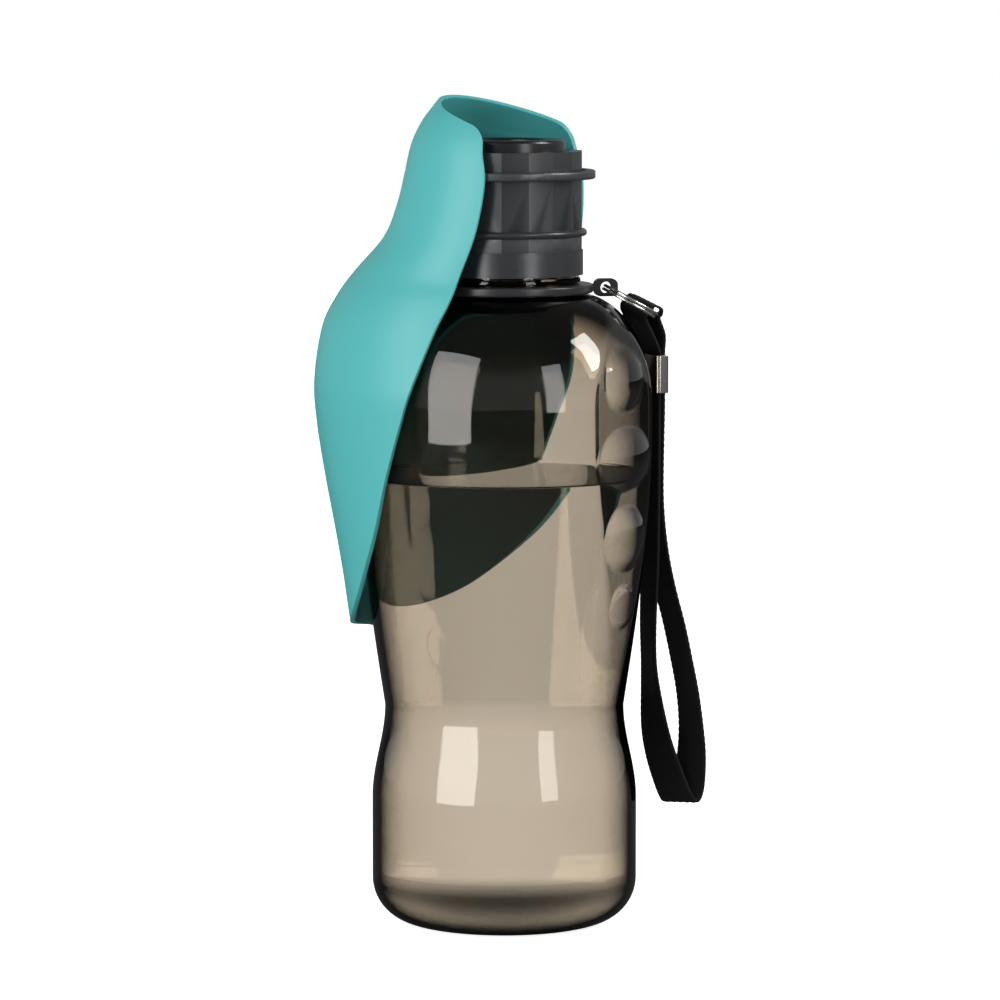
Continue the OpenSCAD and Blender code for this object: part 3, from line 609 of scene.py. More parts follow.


# %% [markdown]
# Smoked clear plastic lets light through and tints it by how far the light travels in the wall, so
# the tint is an absorption in the volume and not a paint on the surface. Its IOR is 1.5. Painted
# shade makes it darker still, set on the surface's own colour in two places: at the outline, where
# the eye looks along the wall, and towards the floor in the heel, for the shadowed floor that the
# heel looks onto. Blow moulding leaves the wall slightly wavy, which a broad, shallow bump gives.

# %% Bottle material
PLASTIC_IOR = 1.5
SMOKE_COLOUR = (0.43, 0.3, 0.1, 1)
SMOKE_DENSITY = 430
WAVES_PER_METRE = 45
WAVE_DEPTH = 0.25 * MM
WAVE_STRENGTH = 0.35
# painted shade at the outline: the facing value where it starts, and where it is full
PAINTED_OUTLINE_SHADE_FROM, PAINTED_OUTLINE_SHADE_TO = 0.28, 0.66
# painted shade in the heel: darkest below the first height, gone above the second, and its darkest
# value
HEEL_SHADE_FROM_Z, HEEL_SHADE_TO_Z = 2 * MM, 9 * MM
DARKEST_HEEL_SHADE = 0.04
smoked = plain_material("smoked_clear_plastic", "#FFFFFF", 0.015, **{
    "Transmission Weight": 1.0, "IOR": PLASTIC_IOR})
smoked_tree = smoked.node_tree
smoked_shader = smoked_tree.nodes["finish"]
smoked_place = add_node(smoked_tree, "ShaderNodeTexCoord").outputs["Object"]
waviness = add_node(smoked_tree, "ShaderNodeTexNoise", {
    "Vector": smoked_place, "Scale": WAVES_PER_METRE, "Detail": 1})
wave_bump = add_node(smoked_tree, "ShaderNodeBump", {
    "Height": waviness, "Distance": WAVE_DEPTH, "Strength": WAVE_STRENGTH})
smoked_tree.links.new(wave_bump.outputs["Normal"], smoked_shader.inputs["Normal"])
facing = add_node(smoked_tree, "ShaderNodeLayerWeight", {"Blend": 0.5}).outputs["Facing"]
# Painted shade: the colour goes dark at the outline, where the eye looks along the wall.
painted_outline_shade = add_node(smoked_tree, "ShaderNodeMapRange", {
    "Value": facing, "From Min": PAINTED_OUTLINE_SHADE_FROM, "From Max": PAINTED_OUTLINE_SHADE_TO, "To Min": 1.0,
    "To Max": 0.0}, interpolation_type="SMOOTHSTEP")
height = add_node(smoked_tree, "ShaderNodeSeparateXYZ", {0: smoked_place}).outputs["Z"]
# Painted shade: the colour goes dark towards the floor, for the shadowed floor seen through the
# heel.
painted_heel_shade = add_node(smoked_tree, "ShaderNodeMapRange", {
    "Value": height, "From Min": HEEL_SHADE_FROM_Z, "From Max": HEEL_SHADE_TO_Z, "To Min": DARKEST_HEEL_SHADE,
    "To Max": 1.0}, interpolation_type="SMOOTHSTEP")
# tint multiplies the two painted shades, and the grey below carries them as the surface's colour.
tint = add_node(smoked_tree, "ShaderNodeMath", {
    0: painted_outline_shade, 1: painted_heel_shade}, operation="MULTIPLY")
painted_shade_colour = add_node(smoked_tree, "ShaderNodeCombineColor", {0: tint, 1: tint, 2: tint})
smoked_tree.links.new(painted_shade_colour.outputs[0], smoked_shader.inputs["Base Color"])
smoke = add_node(smoked_tree, "ShaderNodeVolumeAbsorption", {
    "Color": SMOKE_COLOUR, "Density": SMOKE_DENSITY})
smoked_tree.links.new(smoke.outputs[0], smoked_tree.nodes["output"].inputs["Volume"])

# %% Bottle
MOULDED_EDGE = 0.4
RIM_EDGE = 0.5
bead_r, bead_top = NECK_R + BEAD_OUT, BEAD_Z + BEAD_H
neck_outside = np.array([
    [NECK_R, NECK_Z], [NECK_R, BEAD_Z], [bead_r - MOULDED_EDGE, BEAD_Z],
    [bead_r, BEAD_Z + MOULDED_EDGE], [bead_r, bead_top - MOULDED_EDGE],
    [bead_r - MOULDED_EDGE, bead_top], [NECK_R, bead_top],
    [NECK_R, RIM_Z - RIM_EDGE], [NECK_R - 0.15, RIM_Z - 0.15], [NECK_R - RIM_EDGE, RIM_Z],
    [NECK_BORE_R + MOULDED_EDGE, RIM_Z], [NECK_BORE_R, RIM_Z - MOULDED_EDGE]])
outer = ring_points(np.concatenate([side_profile(0, NECK_R + 1), neck_outside]), columns, 0)
inner = ring_points(side_profile(WALL, NECK_BORE_R), columns, WALL)
bottle = closed_rings(
    "bottle_shell", np.concatenate([outer, inner[::-1]]), (0, 0, PUNT_H * MM),
    (0, 0, (PUNT_H + WALL) * MM), smoked)
placed(bottle, "bottle", "bottle", "bottle_body")

# %% [markdown]
# ## The thread on the neck
# A moulded thread is a ridge that winds up the neck and fades out at both ends. The Screw modifier
# could wind one, but not thin its ends, so a Geometry Nodes tree winds a spiral of the neck's radius
# and sweeps a small ridge along it. It is under the cap and shows when the cap is lifted.

# %% Thread tree
THREAD_PITCH = 4 * MM
THREAD_TURNS = 1.75
THREAD_RIDGE = 0.55 * MM
THREAD_SUNK = 0.1
THREAD_LIFT = 3.5
THREAD_STEPS = 72
RIDGE_SIDES = 10
FADE_SHARE = 0.08
FADED_SIZE = 0.05


def wound(tree, source, steps, start_z):
    """A spiral with the source's radius, pitch and turns, whose sections stand upright."""
    rise = add_node(tree, "ShaderNodeMath", {
        0: source["Pitch"], 1: source["Turns"]}, operation="MULTIPLY")
    spiral = add_node(tree, "GeometryNodeCurveSpiral", {
        "Resolution": steps, "Rotations": source["Turns"], "Start Radius": source["Radius"],
        "End Radius": source["Radius"], "Height": rise})
    at_start = add_node(tree, "GeometryNodeTransform", {
        "Geometry": spiral, "Translation": (0, 0, start_z)})
    return add_node(tree, "GeometryNodeSetCurveNormal", {"Curve": at_start}, mode="Z_UP")


def thread_tree():
    """Winds the ridge of the thread and thins it at both ends."""
    inputs = {"Radius": (NECK_R - THREAD_SUNK) * MM, "Pitch": THREAD_PITCH,
              "Turns": THREAD_TURNS, "Ridge": THREAD_RIDGE, "Material": smoked}
    tree, source = new_tree("wound_thread", inputs)
    line = wound(tree, source, THREAD_STEPS, (bead_top + THREAD_LIFT) * MM)
    along_it = add_node(tree, "GeometryNodeSplineParameter").outputs["Factor"]
    fade = add_node(tree, "ShaderNodeFloatCurve", {"Value": along_it})
    curve = fade.mapping.curves[0]
    curve.points[0].location = (0, FADED_SIZE)
    curve.points[1].location = (1, FADED_SIZE)
    curve.points.new(FADE_SHARE, 1)
    curve.points.new(1 - FADE_SHARE, 1)
    fade.mapping.update()
    ridge = add_node(tree, "GeometryNodeCurvePrimitiveCircle", {
        "Resolution": RIDGE_SIDES, "Radius": source["Ridge"]})
    swept = add_node(tree, "GeometryNodeCurveToMesh", {
        "Curve": line, "Profile Curve": ridge, "Fill Caps": True, "Scale": fade})
    return finish_tree(tree, source, swept)


# %% Thread
thread = grown("neck_thread", bpy.data.meshes.new("nothing"), thread_tree(), Material=smoked)
placed(thread, "bottle", "bottle")

# %% [markdown]
# ## The water
# The bottle is filled a little over half way. Seen through clear plastic, a dark paint would not
# pass for water, so it is a closed body of its own. Its side lies inside the plastic wall by a
# fraction of a millimetre, so that no film of air is left between them, and its top turns up
# slightly where it meets the wall.

# %% Water
WATER_Z = 122
WATER_IN_WALL = 0.4
MENISCUS = 0.6
# share of the brim's radius, and share of the meniscus that is left there
MENISCUS_FALL = [(0.985, 0.35), (0.965, 0.08), (0.94, 0), (0.5, 0)]
WATER_IOR = 1.333
water = plain_material("clear_water", "#FFFFFF", 0.0, **{
    "Transmission Weight": 1.0, "IOR": WATER_IOR})
wet_inset = WALL - WATER_IN_WALL
whole_profile = side_profile(wet_inset, NECK_BORE_R)
wet_profile = whole_profile[whole_profile[:, 1] < WATER_Z]
brim_r = float(body_r(np.array(WATER_Z))) - wet_inset
brim = np.array([[brim_r, WATER_Z + MENISCUS]])
wet_rings = ring_points(np.concatenate([wet_profile, brim]), columns[::2], wet_inset)
top_rings = [wet_rings[-1] * (share, share, 0) + (0, 0, (WATER_Z + MENISCUS * left) * MM)
             for share, left in MENISCUS_FALL]
water_body = closed_rings(
    "water", np.concatenate([wet_rings, np.array(top_rings)]), (0, 0, (PUNT_H + wet_inset) * MM),
    (0, 0, WATER_Z * MM), water)
placed(water_body, "bottle", "bottle")

# %% [markdown]
# ## The drinking leaf
# The trough is one thin moulded shell. Going down from its rim, the hood hugs the cap, then the
# shell swells into a belly and narrows to a tip that hugs the bottle's chest. It could be sculpted
# from a sheet, but its sides would never come out alike. Here, at every height it is an arc through
# a back point and two edge points that a smooth table gives, so the whole leaf is a formula of the
# height and of how far round the arc a point lies. The inside follows at the wall's thickness, with
# a small step under the rim, and a bevel rounds the moulded edges.

# %% Sizes of the leaf, in millimetres
HINGE_Z = 203.6
HOOD_R = 26.9
TROUGH_R = 41.9
LEAF_WALL = 1.4
HOOD_UP = 21.1
LEAF_DROP = 125.1
RIM_DROP = 8.5
RIM_CORNER = 3.2
RIM_HALF_ARC = 41
BELLY_OUT = 11.4
HOOD_TAPER = 9.8
LIP_HEIGHT = 8
LIP_STEP = 0.25
LIP_BLEND = 0.6
print("leaf", round(HOOD_UP + LEAF_DROP, 1), "mm long")


# %% Sections of the leaf
def tapered(share):
    """A radius of the hood, which narrows upwards."""
    return HOOD_R - HOOD_TAPER * share


def widened(share):
    """A radius between the hood's and the trough's."""
    return HOOD_R + (TROUGH_R - HOOD_R) * share


def bellied(share):
    """A radius of the belly, which stands out from the trough."""
    return TROUGH_R + BELLY_OUT * share


# height above the pivots, radius at the back, radius at the edges, half arc in degrees
LEAF_SECTIONS = np.array([
    (HOOD_UP, tapered(1), tapered(1), 108),
    (0.86 * HOOD_UP, tapered(0.765), tapered(0.765), 108),
    (0.71 * HOOD_UP, tapered(0.52), tapered(0.52), 108),
    (0.5 * HOOD_UP, tapered(0.276), tapered(0.276), 108),
    (0.31 * HOOD_UP, tapered(0.133), tapered(0.133), 108.5),
    (0.02 * HOOD_UP, tapered(0), tapered(0), 110.5),
    (-0.061 * LEAF_DROP, widened(0.14), widened(0.067), 109),
    (-0.133 * LEAF_DROP, widened(0.4), widened(0.133), 105),
    (-0.213 * LEAF_DROP, bellied(0.035), widened(0.24), 98.4),
    (-0.261 * LEAF_DROP, bellied(0.44), widened(0.44), 96),
    (-0.325 * LEAF_DROP, bellied(0.807), widened(0.667), 91.5),
    (-0.445 * LEAF_DROP, bellied(1), bellied(0.01), 85.6),
    (-0.536 * LEAF_DROP, bellied(0.947), bellied(0.044), 80.1),
    (-0.652 * LEAF_DROP, bellied(0.737), bellied(0.035), 72.6),
    (-0.764 * LEAF_DROP, bellied(0.482), bellied(0.01), 65.4),
    (-0.86 * LEAF_DROP, bellied(0.272), TROUGH_R, 55.8),
    (-0.916 * LEAF_DROP, bellied(0.167), TROUGH_R, 47.9),
    (-0.956 * LEAF_DROP, bellied(0.096), TROUGH_R, 38.2),
    (-0.98 * LEAF_DROP, bellied(0.053), bellied(0.01), 26),
    (-LEAF_DROP, bellied(0.026), bellied(0.026), 3),
])
print(len(LEAF_SECTIONS), "sections, the widest", round(2 * LEAF_SECTIONS[:, 1].max(), 1), "mm")


# %% Surface of the leaf
def along(z, column):
    """Value of a section's column at a height, on a smooth curve through the sections."""
    heights, values = LEAF_SECTIONS[:, 0], LEAF_SECTIONS[:, column]
    last = len(heights) - 1
    i = np.clip(np.searchsorted(-heights, -z, side="right") - 1, 0, last - 1)
    place = np.arange(last + 1)
    after, before = np.minimum(place + 1, last), np.maximum(place - 1, 0)
    slopes = (values[after] - values[before]) / (heights[after] - heights[before])
    h = heights[i + 1] - heights[i]
    t = (z - heights[i]) / h
    return ((2 * t ** 3 - 3 * t ** 2 + 1) * values[i] + (t ** 3 - 2 * t ** 2 + t) * slopes[i] * h
            + (3 * t ** 2 - 2 * t ** 3) * values[i + 1] + (t ** 3 - t ** 2) * slopes[i + 1] * h)


def leaf_outside(z, f):
    """Point on the outside: z is the height above the pivots, f runs from edge to edge."""
    back, edge, half = along(z, 1), along(z, 2), np.radians(along(z, 3))
    edge_x, edge_y = -edge * np.cos(half), edge * np.sin(half)
    reach = edge_x + back
    r = (reach ** 2 + edge_y ** 2) / (2 * reach)
    centre = r - back
    a = f * np.arctan2(edge_y, centre - edge_x)
    return np.stack([centre - r * np.cos(a), r * np.sin(a), z + 0 * a], axis=-1)


def leaf_normal(z, f):
    """Direction out of the shell, from points a little way off on the outside."""
    dz, df = 0.2, 0.01
    lower, upper = np.maximum(z - dz, -LEAF_DROP), np.minimum(z + dz, HOOD_UP)
    down = leaf_outside(lower, f) - leaf_outside(upper, f)
    side = leaf_outside(z, np.minimum(f + df, 1)) - leaf_outside(z, np.maximum(f - df, -1))
    return unit(np.cross(side, down))


def rim_height(f):
    """Height of the hood's rim, which falls towards its round corners."""
    s = np.maximum(0, abs(f) * RIM_HALF_ARC - RIM_HALF_ARC + RIM_CORNER)
    corner = RIM_CORNER - np.sqrt(np.maximum(0, RIM_CORNER ** 2 - s * s))
    return HOOD_UP - RIM_DROP * f * f - corner


print("rim falls by", round(float(rim_height(0) - rim_height(1)), 1), "mm")

# %% [markdown]
# The leaf is moulded in a soft-touch polypropylene with a fine matte skin. Matte plastic scatters
# its highlights wide, so the roughness is high, and a fine grain breaks them up. Light that enters
# the thin wall comes out again close by, which a little subsurface scattering gives.

# %% Leaf material
leaf_plastic = plain_material("matte_polypropylene", "#4DA9A9", 0.42, **{
    "Subsurface Weight": 0.12, "Subsurface Scale": 1.5 * MM, "Specular IOR Level": 0.42})
leaf_plastic.node_tree.nodes["finish"].inputs["Subsurface Radius"].default_value = (0.5, 1.0, 0.9)
grained(leaf_plastic, 0.35 * MM, 0.02 * MM, tint=0.03, roughness_swing=0.03)

# %% Leaf
LEAF_COLUMNS = 121
HOOD_ROWS = 40
TROUGH_ROWS = 150
HOOD_FOOT = -0.061 * LEAF_DROP
EDGE_CROWDING = 0.6
LEAF_SHARP = 50
quarter = np.pi / 2
crowded = np.sin(np.linspace(-quarter, quarter, LEAF_COLUMNS))
f = crowded * EDGE_CROWDING + np.linspace(-1, 1, LEAF_COLUMNS) * (1 - EDGE_CROWDING)
fall = np.linspace(0, 1, HOOD_ROWS)[:, None]
hood_z = rim_height(f) * (1 - fall) + HOOD_FOOT * fall
drop = np.sin(np.linspace(0, quarter, TROUGH_ROWS)[1:, None])
trough_z = HOOD_FOOT - (LEAF_DROP + HOOD_FOOT) * drop
leaf_z = np.concatenate([hood_z, trough_z + 0 * f])
across_f = f + 0 * leaf_z
outside = leaf_outside(leaf_z, across_f)
below_rim = rim_height(across_f) - leaf_z
wall = LEAF_WALL - LIP_STEP * np.clip((LIP_HEIGHT - below_rim) / LIP_BLEND, 0, 1)
inside = outside - wall[..., None] * leaf_normal(leaf_z, across_f)
leaf_rows = np.concatenate([outside, inside[:, ::-1]], axis=1)
rows, ring = leaf_rows.shape[:2]
leaf_faces = grid_faces(rows, ring)
end = (rows - 1) * ring
for j in range(LEAF_COLUMNS - 1):
    leaf_faces.append((j + 1, j, ring - 1 - j, ring - 2 - j))
    leaf_faces.append((end + j, end + j + 1, end + ring - 2 - j, end + ring - 1 - j))
leaf = mesh_piece("leaf_shell", leaf_rows.reshape(-1, 3) * MM + (0, 0, HINGE_Z * MM), leaf_faces,
                  leaf_plastic, LEAF_SHARP)

# %% [markdown]
# On each side a boss stands on the inside of the hood and holds a pivot pin. It is a short round
# stud with a blind hole, spun from its outline and joined to the shell once the shell's edges are
# round, because a bevel on both at once would round where they meet too.

# %% Pivot bosses
BOSS_R = 4
BOSS_IN = 24.9
BOSS_OUT = 26.5
BOSS_EDGE = 0.3
BOSS_SEGMENTS = 48
PIN_HOLE_R = 1.56
PIN_HOLE_END = 26.4
ON_AXIS = 0.01


def spun(name, outline, material):
    """An outline of radius and distance from the middle, spun about the axis of the pivots."""
    outline = np.asarray(outline, float)
    angles = np.linspace(0, 2 * np.pi, BOSS_SEGMENTS, endpoint=False)
    r, out = outline[:, :1], outline[:, 1:]
    points = np.stack([r * np.cos(angles), out + 0 * angles, -(r * np.sin(angles))], axis=-1)
    faces = grid_faces(len(outline) + 1, BOSS_SEGMENTS)
    faces = [tuple(v % (len(outline) * BOSS_SEGMENTS) for v in face) for face in faces]
    points = points.reshape(-1, 3) + (0, 0, HINGE_Z)
    piece = mesh_piece(name, points * MM, faces, material, 30)
    outward(piece)
    return piece


def outward(piece):
    """Merges doubles and turns every face outwards."""
    shaped = bmesh.new()
    shaped.from_mesh(piece.data)
    bmesh.ops.remove_doubles(shaped, verts=shaped.verts, dist=1e-7)
    bmesh.ops.recalc_face_normals(shaped, faces=shaped.faces)
    shaped.to_mesh(piece.data)
    shaped.free()


def joined(target, *others):
    """Joins pieces of one material into the first of them."""
    merged = bmesh.new()
    for piece in (target, *others):
        merged.from_mesh(piece.data)
    merged.to_mesh(target.data)
    merged.free()
    for piece in others:
        bpy.data.objects.remove(piece)


def bevelled(piece, width, segments, degrees, harden=False):
    """Rounds a piece's edges for good, where its faces meet at more than an angle."""
    rounding = piece.modifiers.new("rounding", "BEVEL")
    rounding.width = width
    rounding.segments = segments
    rounding.limit_method = "ANGLE"
    rounding.angle_limit = math.radians(degrees)
    rounding.harden_normals = harden
    ready = piece.evaluated_get(bpy.context.evaluated_depsgraph_get())
    rounded = bpy.data.meshes.new_from_object(ready)
    piece.modifiers.clear()
    piece.data = rounded


bosses = []
for side in (-1, 1):
    boss_outline = [
        (ON_AXIS, side * PIN_HOLE_END), (PIN_HOLE_R, side * PIN_HOLE_END),
        (PIN_HOLE_R, side * BOSS_IN), (BOSS_R - BOSS_EDGE, side * BOSS_IN),
        (BOSS_R, side * (BOSS_IN + BOSS_EDGE)), (BOSS_R, side * (BOSS_OUT - BOSS_EDGE)),
        (ON_AXIS, side * BOSS_OUT)]
    bosses.append(spun(f"boss_{side}", boss_outline, leaf_plastic))
outward(leaf)
bevelled(leaf, 0.45 * MM, 3, LEAF_SHARP, harden=True)
joined(leaf, *bosses)
smooth_shaded(leaf, LEAF_SHARP)
placed(leaf, "leaf", "leaf", "drinking_leaf")

# %% [markdown]
# ## Cap, ring, band and collar
# These are rigid mouldings whose solids are already right, so they needn't be built again. A
# moulded edge is never razor sharp, and the light that it catches shows its shape, so each gets its
# flat faces merged back from triangles and its edges bevelled by a few tenths of a millimetre.
#
# The cap and the hinge ring are ABS with a fine matte texture from the mould: their highlights are
# broad and dim. The retainer and the collar are satin polypropylene, smoother, so the lamps show on
# them as soft stripes. The band is smooth black rubber, a little paler than the cap under it.

# %% Softened mouldings
MOULDING_SHARP = 14


def softened(node, name, material, width):
    """A copy of a CAD node with its edges rounded as a moulding's are."""
    shaped = bmesh.new()
    shaped.from_mesh(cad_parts[node].data)
    bmesh.ops.remove_doubles(shaped, verts=shaped.verts, dist=1e-6)
    bmesh.ops.dissolve_limit(
        shaped, angle_limit=math.radians(0.5), verts=shaped.verts, edges=shaped.edges)
    mesh = bpy.data.meshes.new(name)
    shaped.to_mesh(mesh)
    shaped.free()
    mesh.materials.clear()
    mesh.materials.append(material)
    piece = in_scene(name, mesh)
    bevelled(piece, width, 2, MOULDING_SHARP)
    smooth_shaded(piece, MOULDING_SHARP)
    return piece


# CAD node, piece, body and slot, then the edge's width in millimetres
MOULDINGS = [
    ("screw_cap", "cap_moulding", "cap", "cap", 0.25),
    ("hinge_ring", "ring_moulding", "hinge_ring", "hinge", 0.2),
    ("valve_retainer", "retainer_moulding", "cap", "retainer", 0.1),
    ("lanyard_collar", "collar_moulding", "lanyard_collar", "collar", 0.15),
    ("stop_band", "band_ring", "cap", "band", 0.02),
]
# material, colour, roughness and specular level, then size and depth of its grain in millimetres,
# unevenness of its colour and of its gloss
MOULDING_FINISHES = [
    ("matte_cap_plastic", "#202226", 0.31, 1.0, 0.3, 0.015, 0.06, 0.04),
    ("matte_ring_plastic", "#2A2C2F", 0.36, 1.0, 0.3, 0.015, 0.06, 0),
    ("satin_retainer_plastic", "#17181A", 0.25, 0.5, 0.25, 0.01, 0.1, 0.04),
    ("satin_collar_plastic", "#26272A", 0.3, 0.5, 0.25, 0.01, 0.1, 0.04),
    ("smooth_band_rubber", "#2B2D30", 0.3, 0.5, 0.4, 0.01, 0.1, 0),
]

# %% Mouldings
for moulding, moulded_in in zip(MOULDINGS, MOULDING_FINISHES):
    node, name, body, slot, edge_width = moulding
    label, hex_colour, roughness, specular, size, depth, unevenness, swing = moulded_in
    material = plain_material(label, hex_colour, roughness, **{"Specular IOR Level": specular})
    grained(material, size * MM, depth * MM, unevenness, swing)
    placed(softened(node, name, material, edge_width * MM), body, slot, node)

# %% [markdown]
# The gasket and the slit valve are moulded silicone, whose skin is slightly dull. The gasket is
# white and opaque, and the valve lets some light through, so it glows a little at its thin lip.
# Their solids are soft forms without hard edges, so only the finish is set on them.

# %% Silicone
gasket_silicone = plain_material("white_silicone", "#E6E5E0", 0.45)
grained(gasket_silicone, 0.4 * MM, 0.01 * MM, tint=0.04)
valve_silicone = plain_material("translucent_silicone", "#D6D8DA", 0.35, **{
    "Transmission Weight": 0.45, "IOR": 1.41, "Subsurface Weight": 0.3})
grained(valve_silicone, 0.4 * MM, 0.01 * MM, tint=0.04)
for node, material, slot in (
        ("cap_gasket", gasket_silicone, "gasket"), ("slit_valve", valve_silicone, "valve")):
    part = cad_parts[node]
    part.data.materials.clear()
    part.data.materials.append(material)
    print(node, "is", material.name)

# %% [markdown]
# ## Ring and crimp
# The split ring is spring-steel wire, wound twice and nickel plated. A torus would look like one
# solid ring, so a Geometry Nodes tree winds a spiral of two turns and sweeps a flat, round-cornered
# section along it. The crimp is a nickel-plated sleeve that is pressed round the webbing. Plating
# is smooth, so it mirrors the studio nearly sharp.

# %% Split ring tree
KEY_START = math.radians(-30)
WIRE_CORNER = 0.3 * MM
WIRE_TURNS = 2
WIRE_STEPS = 96


def ring_tree():
    """Winds the flat wire of the ring in its two turns."""
    pitch = (KEY_WIRE_T + KEY_GAP) * MM
    inputs = {"Radius": KEY_R * MM, "Wire width": KEY_WIRE_W * MM, "Wire thickness": KEY_WIRE_T * MM,
              "Turns": WIRE_TURNS, "Pitch": pitch, "Material": nickel}
    tree, source = new_tree("wound_split_ring", inputs)
    line = wound(tree, source, WIRE_STEPS, -pitch)
    section = flat_section(tree, source["Wire width"], source["Wire thickness"], WIRE_CORNER)
    swept = add_node(tree, "GeometryNodeCurveToMesh", {
        "Curve": line, "Profile Curve": section, "Fill Caps": True})
    return finish_tree(tree, source, swept)


# %% Split ring and crimp
nickel = plain_material("polished_nickel", "#DEDBD6", 0.17, **{"Metallic": 1.0})
grained(nickel, 1.2 * MM, 0.012 * MM, roughness_swing=0.03)
split_ring = grown("split_ring_wire", bpy.data.meshes.new("nothing"), ring_tree(), Material=nickel)
wire_points = np.array([v.co for v in split_ring.data.vertices]) / MM
flat_wire = about_upright(wire_points, KEY_START)
c, s = math.cos(KEY_TILT), math.sin(KEY_TILT)
tilt = np.array([[c, 0, -s], [0, 1, 0], [s, 0, c]])
hung_wire = (flat_wire + (KEY_R, 0, 0)) @ tilt + (EAR_R, 0, EAR_Z)
wire_places = in_lanyard_frame(hung_wire) * MM
split_ring.data.vertices.foreach_set("co", wire_places.astype(np.float32).ravel())
split_ring.data.set_sharp_from_angle(angle=math.radians(40))
placed(split_ring, "strap", "steel", "split_ring")
crimp = softened("strap_crimp", "crimp_sleeve", nickel, 0.12 * MM)
placed(crimp, "strap", "steel", "strap_crimp")

# %% [markdown]
# ## The studio
# The bottle stands on a white floor before white paper. Clear plastic shows what is round it, so the
# white is there for what the camera sees straight and for what it sees through the plastic. Light
# that was mirrored or scattered finds a dimmer studio, or the black plastic and the leaf behind the
# smoked wall would look washed out. The paper ends above the bottle and gives way to a soft fill
# from overhead, and first mirrorings at the outside get a little of the paper, as a rim of light.
# Three soft lamps light the bottle: a broad one on the left, a narrow one on the right, and a small
# raised one at the right side.

# %% White that the camera sees
MIRRORED_LEFT = 0.2


def seen_white(tree, rays, through=1.0):
    """1 for what the camera sees straight, "through" for what it sees through clear plastic.

    It is 0 once the light has been scattered, and only a part is left once it has been mirrored.
    """
    bent = add_node(tree, "ShaderNodeMath", {
        0: rays["Is Transmission Ray"], 1: through}, operation="MULTIPLY")
    seen = add_node(tree, "ShaderNodeMath", {
        0: rays["Is Camera Ray"], 1: bent}, operation="MAXIMUM")
    unscattered = add_node(tree, "ShaderNodeMath", {
        0: rays["Diffuse Depth"], 1: 0.5}, operation="LESS_THAN")
    left = add_node(tree, "ShaderNodeMapRange", {
        "Value": rays["Glossy Depth"], "To Min": 1.0, "To Max": MIRRORED_LEFT})
    clear = add_node(tree, "ShaderNodeMath", {0: unscattered, 1: left}, operation="MULTIPLY")
    return add_node(tree, "ShaderNodeMath", {0: seen, 1: clear}, operation="MULTIPLY")


# %% Floor
FLOOR_REACH = 3
FLOOR_Z = -0.2 * MM
FLOOR_GLOW_SEEN = 0.6
FLOOR_GLOW_STRAIGHT = 0.3
floor_white = bpy.data.materials.new("white_floor")
floor_tree = emptied(floor_white)
floor_rays = add_node(floor_tree, "ShaderNodeLightPath").outputs
seen_glow = add_node(floor_tree, "ShaderNodeMath", {
    0: seen_white(floor_tree, floor_rays), 1: FLOOR_GLOW_SEEN}, operation="MULTIPLY")
glow_strength = add_node(floor_tree, "ShaderNodeMath", {
    0: floor_rays["Is Camera Ray"], 1: FLOOR_GLOW_STRAIGHT, 2: seen_glow},
    operation="MULTIPLY_ADD")
glow = add_node(floor_tree, "ShaderNodeEmission", {
    "Color": (1, 1, 1, 1), "Strength": glow_strength})
mirrored_once = add_node(floor_tree, "ShaderNodeMath", {
    0: floor_rays["Glossy Depth"], 1: 0.5}, operation="GREATER_THAN")
scattered_once = add_node(floor_tree, "ShaderNodeMath", {
    0: floor_rays["Diffuse Depth"], 1: 0.5}, operation="GREATER_THAN")
inside_bottle = add_node(floor_tree, "ShaderNodeMath", {
    0: floor_rays["Is Transmission Ray"], 1: scattered_once}, operation="MULTIPLY")
on_its_way = add_node(floor_tree, "ShaderNodeMath", {
    0: mirrored_once, 1: inside_bottle}, operation="MAXIMUM")
paper_white = add_node(floor_tree, "ShaderNodeBsdfDiffuse", {"Color": colour("#E4E4E4")})
paper_dimmed = add_node(floor_tree, "ShaderNodeBsdfDiffuse", {"Color": colour("#505050")})
paper = add_node(floor_tree, "ShaderNodeMixShader", {
    0: on_its_way, 1: paper_white, 2: paper_dimmed})
lit_floor = add_node(floor_tree, "ShaderNodeAddShader", {0: paper, 1: glow})
add_node(floor_tree, "ShaderNodeOutputMaterial", {"Surface": lit_floor})
corners = [(FLOOR_REACH * x, FLOOR_REACH * y, 0) for x, y in ((-1, -1), (1, -1), (1, 1), (-1, 1))]
floor = mesh_piece("floor", corners, [(0, 1, 2, 3)], floor_white)
floor.location.z = FLOOR_Z
print("floor", 2 * FLOOR_REACH, "m wide")

# %% Backdrop
PAPER_FROM_Z, PAPER_TO_Z = 0.3, 0.6
PAPER_ABOVE = 0.12
FILL_FROM_Z, FILL_TO_Z = -0.1, 0.6
FILL_LOW, FILL_HIGH = 0.18, 0.46
RIM_LIGHT = 0.34
world = bpy.data.worlds.new("studio")
scene.world = world
sky = emptied(world)
sky_rays = add_node(sky, "ShaderNodeLightPath").outputs
sky_place = add_node(sky, "ShaderNodeTexCoord").outputs["Generated"]
up = add_node(sky, "ShaderNodeSeparateXYZ", {0: sky_place}).outputs["Z"]
paper_part = add_node(sky, "ShaderNodeMapRange", {
    "Value": up, "From Min": PAPER_FROM_Z, "From Max": PAPER_TO_Z, "To Min": 1.0,
    "To Max": PAPER_ABOVE}, interpolation_type="SMOOTHSTEP")
overhead = add_node(sky, "ShaderNodeMapRange", {
    "Value": up, "From Min": FILL_FROM_Z, "From Max": FILL_TO_Z, "To Min": FILL_LOW,
    "To Max": FILL_HIGH}, interpolation_type="SMOOTHSTEP")
bounced = add_node(sky, "ShaderNodeMath", {
    0: sky_rays["Is Glossy Ray"], 1: sky_rays["Is Transmission Ray"]}, operation="MAXIMUM")
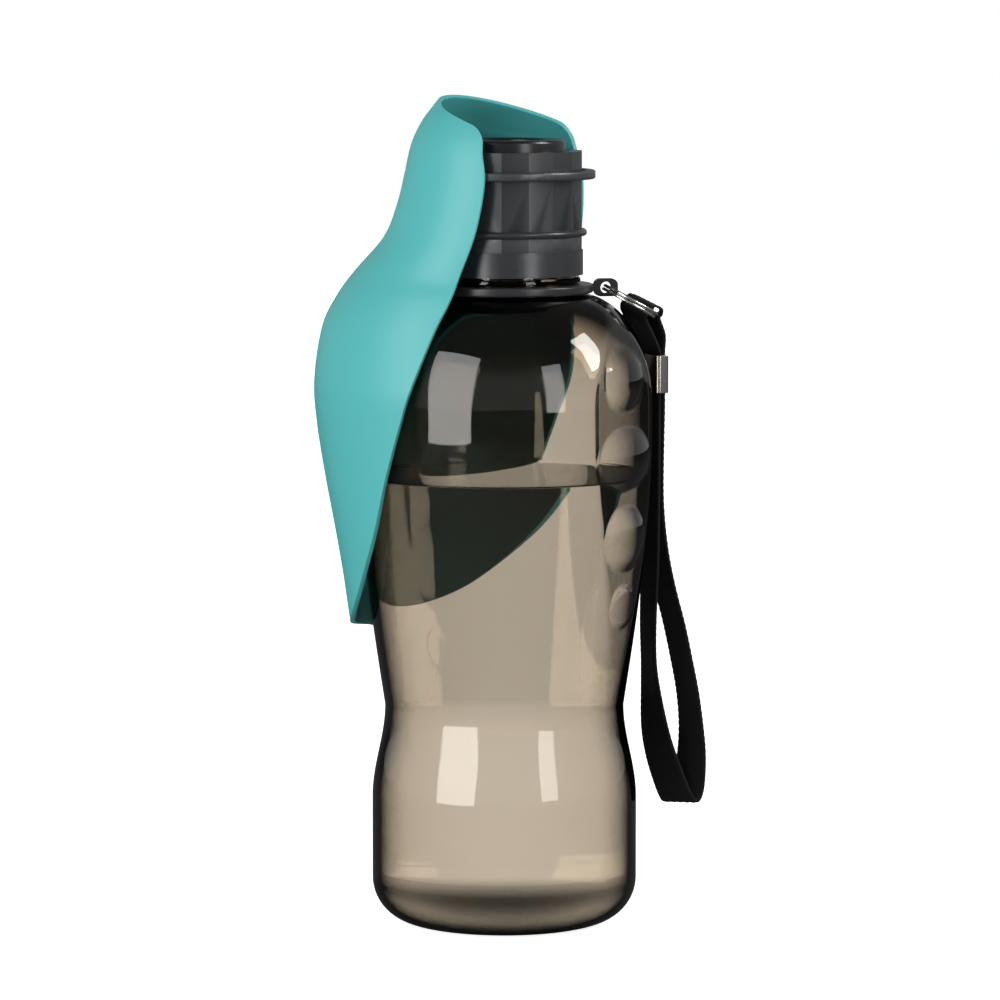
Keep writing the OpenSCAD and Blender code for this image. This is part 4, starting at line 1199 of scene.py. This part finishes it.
fill_left = add_node(sky, "ShaderNodeMapRange", {
    "Value": bounced, "To Min": 1.0, "To Max": MIRRORED_LEFT})
fill = add_node(sky, "ShaderNodeMath", {0: overhead, 1: fill_left}, operation="MULTIPLY")
outside_wall = add_node(sky, "ShaderNodeMath", {
    0: sky_rays["Transmission Depth"], 1: 0.5}, operation="LESS_THAN")
first_mirror = add_node(sky, "ShaderNodeMath", {
    0: sky_rays["Is Glossy Ray"], 1: outside_wall}, operation="MULTIPLY")
rim_part = add_node(sky, "ShaderNodeMath", {
    0: paper_part, 1: RIM_LIGHT}, operation="MULTIPLY")
rim = add_node(sky, "ShaderNodeMath", {0: first_mirror, 1: rim_part}, operation="MULTIPLY")
around = add_node(sky, "ShaderNodeMath", {0: fill, 1: rim}, operation="MAXIMUM")
strength = add_node(sky, "ShaderNodeMath", {
    0: seen_white(sky, sky_rays, paper_part), 1: around}, operation="MAXIMUM")
backdrop = add_node(sky, "ShaderNodeBackground", {
    "Color": (1, 1, 1, 1), "Strength": strength})
add_node(sky, "ShaderNodeOutputWorld", {"Surface": backdrop})
print("studio", len(sky.nodes), "nodes")

# %% Lamps
# degrees round from the camera, degrees up, distance, width and height in metres, watts
SOFTBOXES = {
    "left_softbox": (-43, 17, 1.2, 0.8, 1.0, 11.8),
    "right_softbox": (40, 14, 1.2, 0.32, 0.7, 2.8),
    "side_softbox": (84, 33, 1.0, 0.3, 0.45, 5),
}
for name, (turn, rise, distance, width, height, power) in SOFTBOXES.items():
    lamp = bpy.data.lights.new(name, "AREA")
    lamp.shape = "RECTANGLE"
    lamp.size = width
    lamp.size_y = height
    lamp.energy = power
    holder = in_scene(name, lamp)
    direction = direction_from(CAMERA_TURN + math.radians(turn), math.radians(rise))
    holder.location = TARGET + distance * direction
    holder.rotation_euler = direction.to_track_quat("Z", "Y").to_euler()
    print(name, power, "W")

scene.view_settings.view_transform = "Standard"

# %% [markdown]
# ## Finish
# The last line brings the scene up to date.

# %% Finish
bpy.context.view_layer.update()
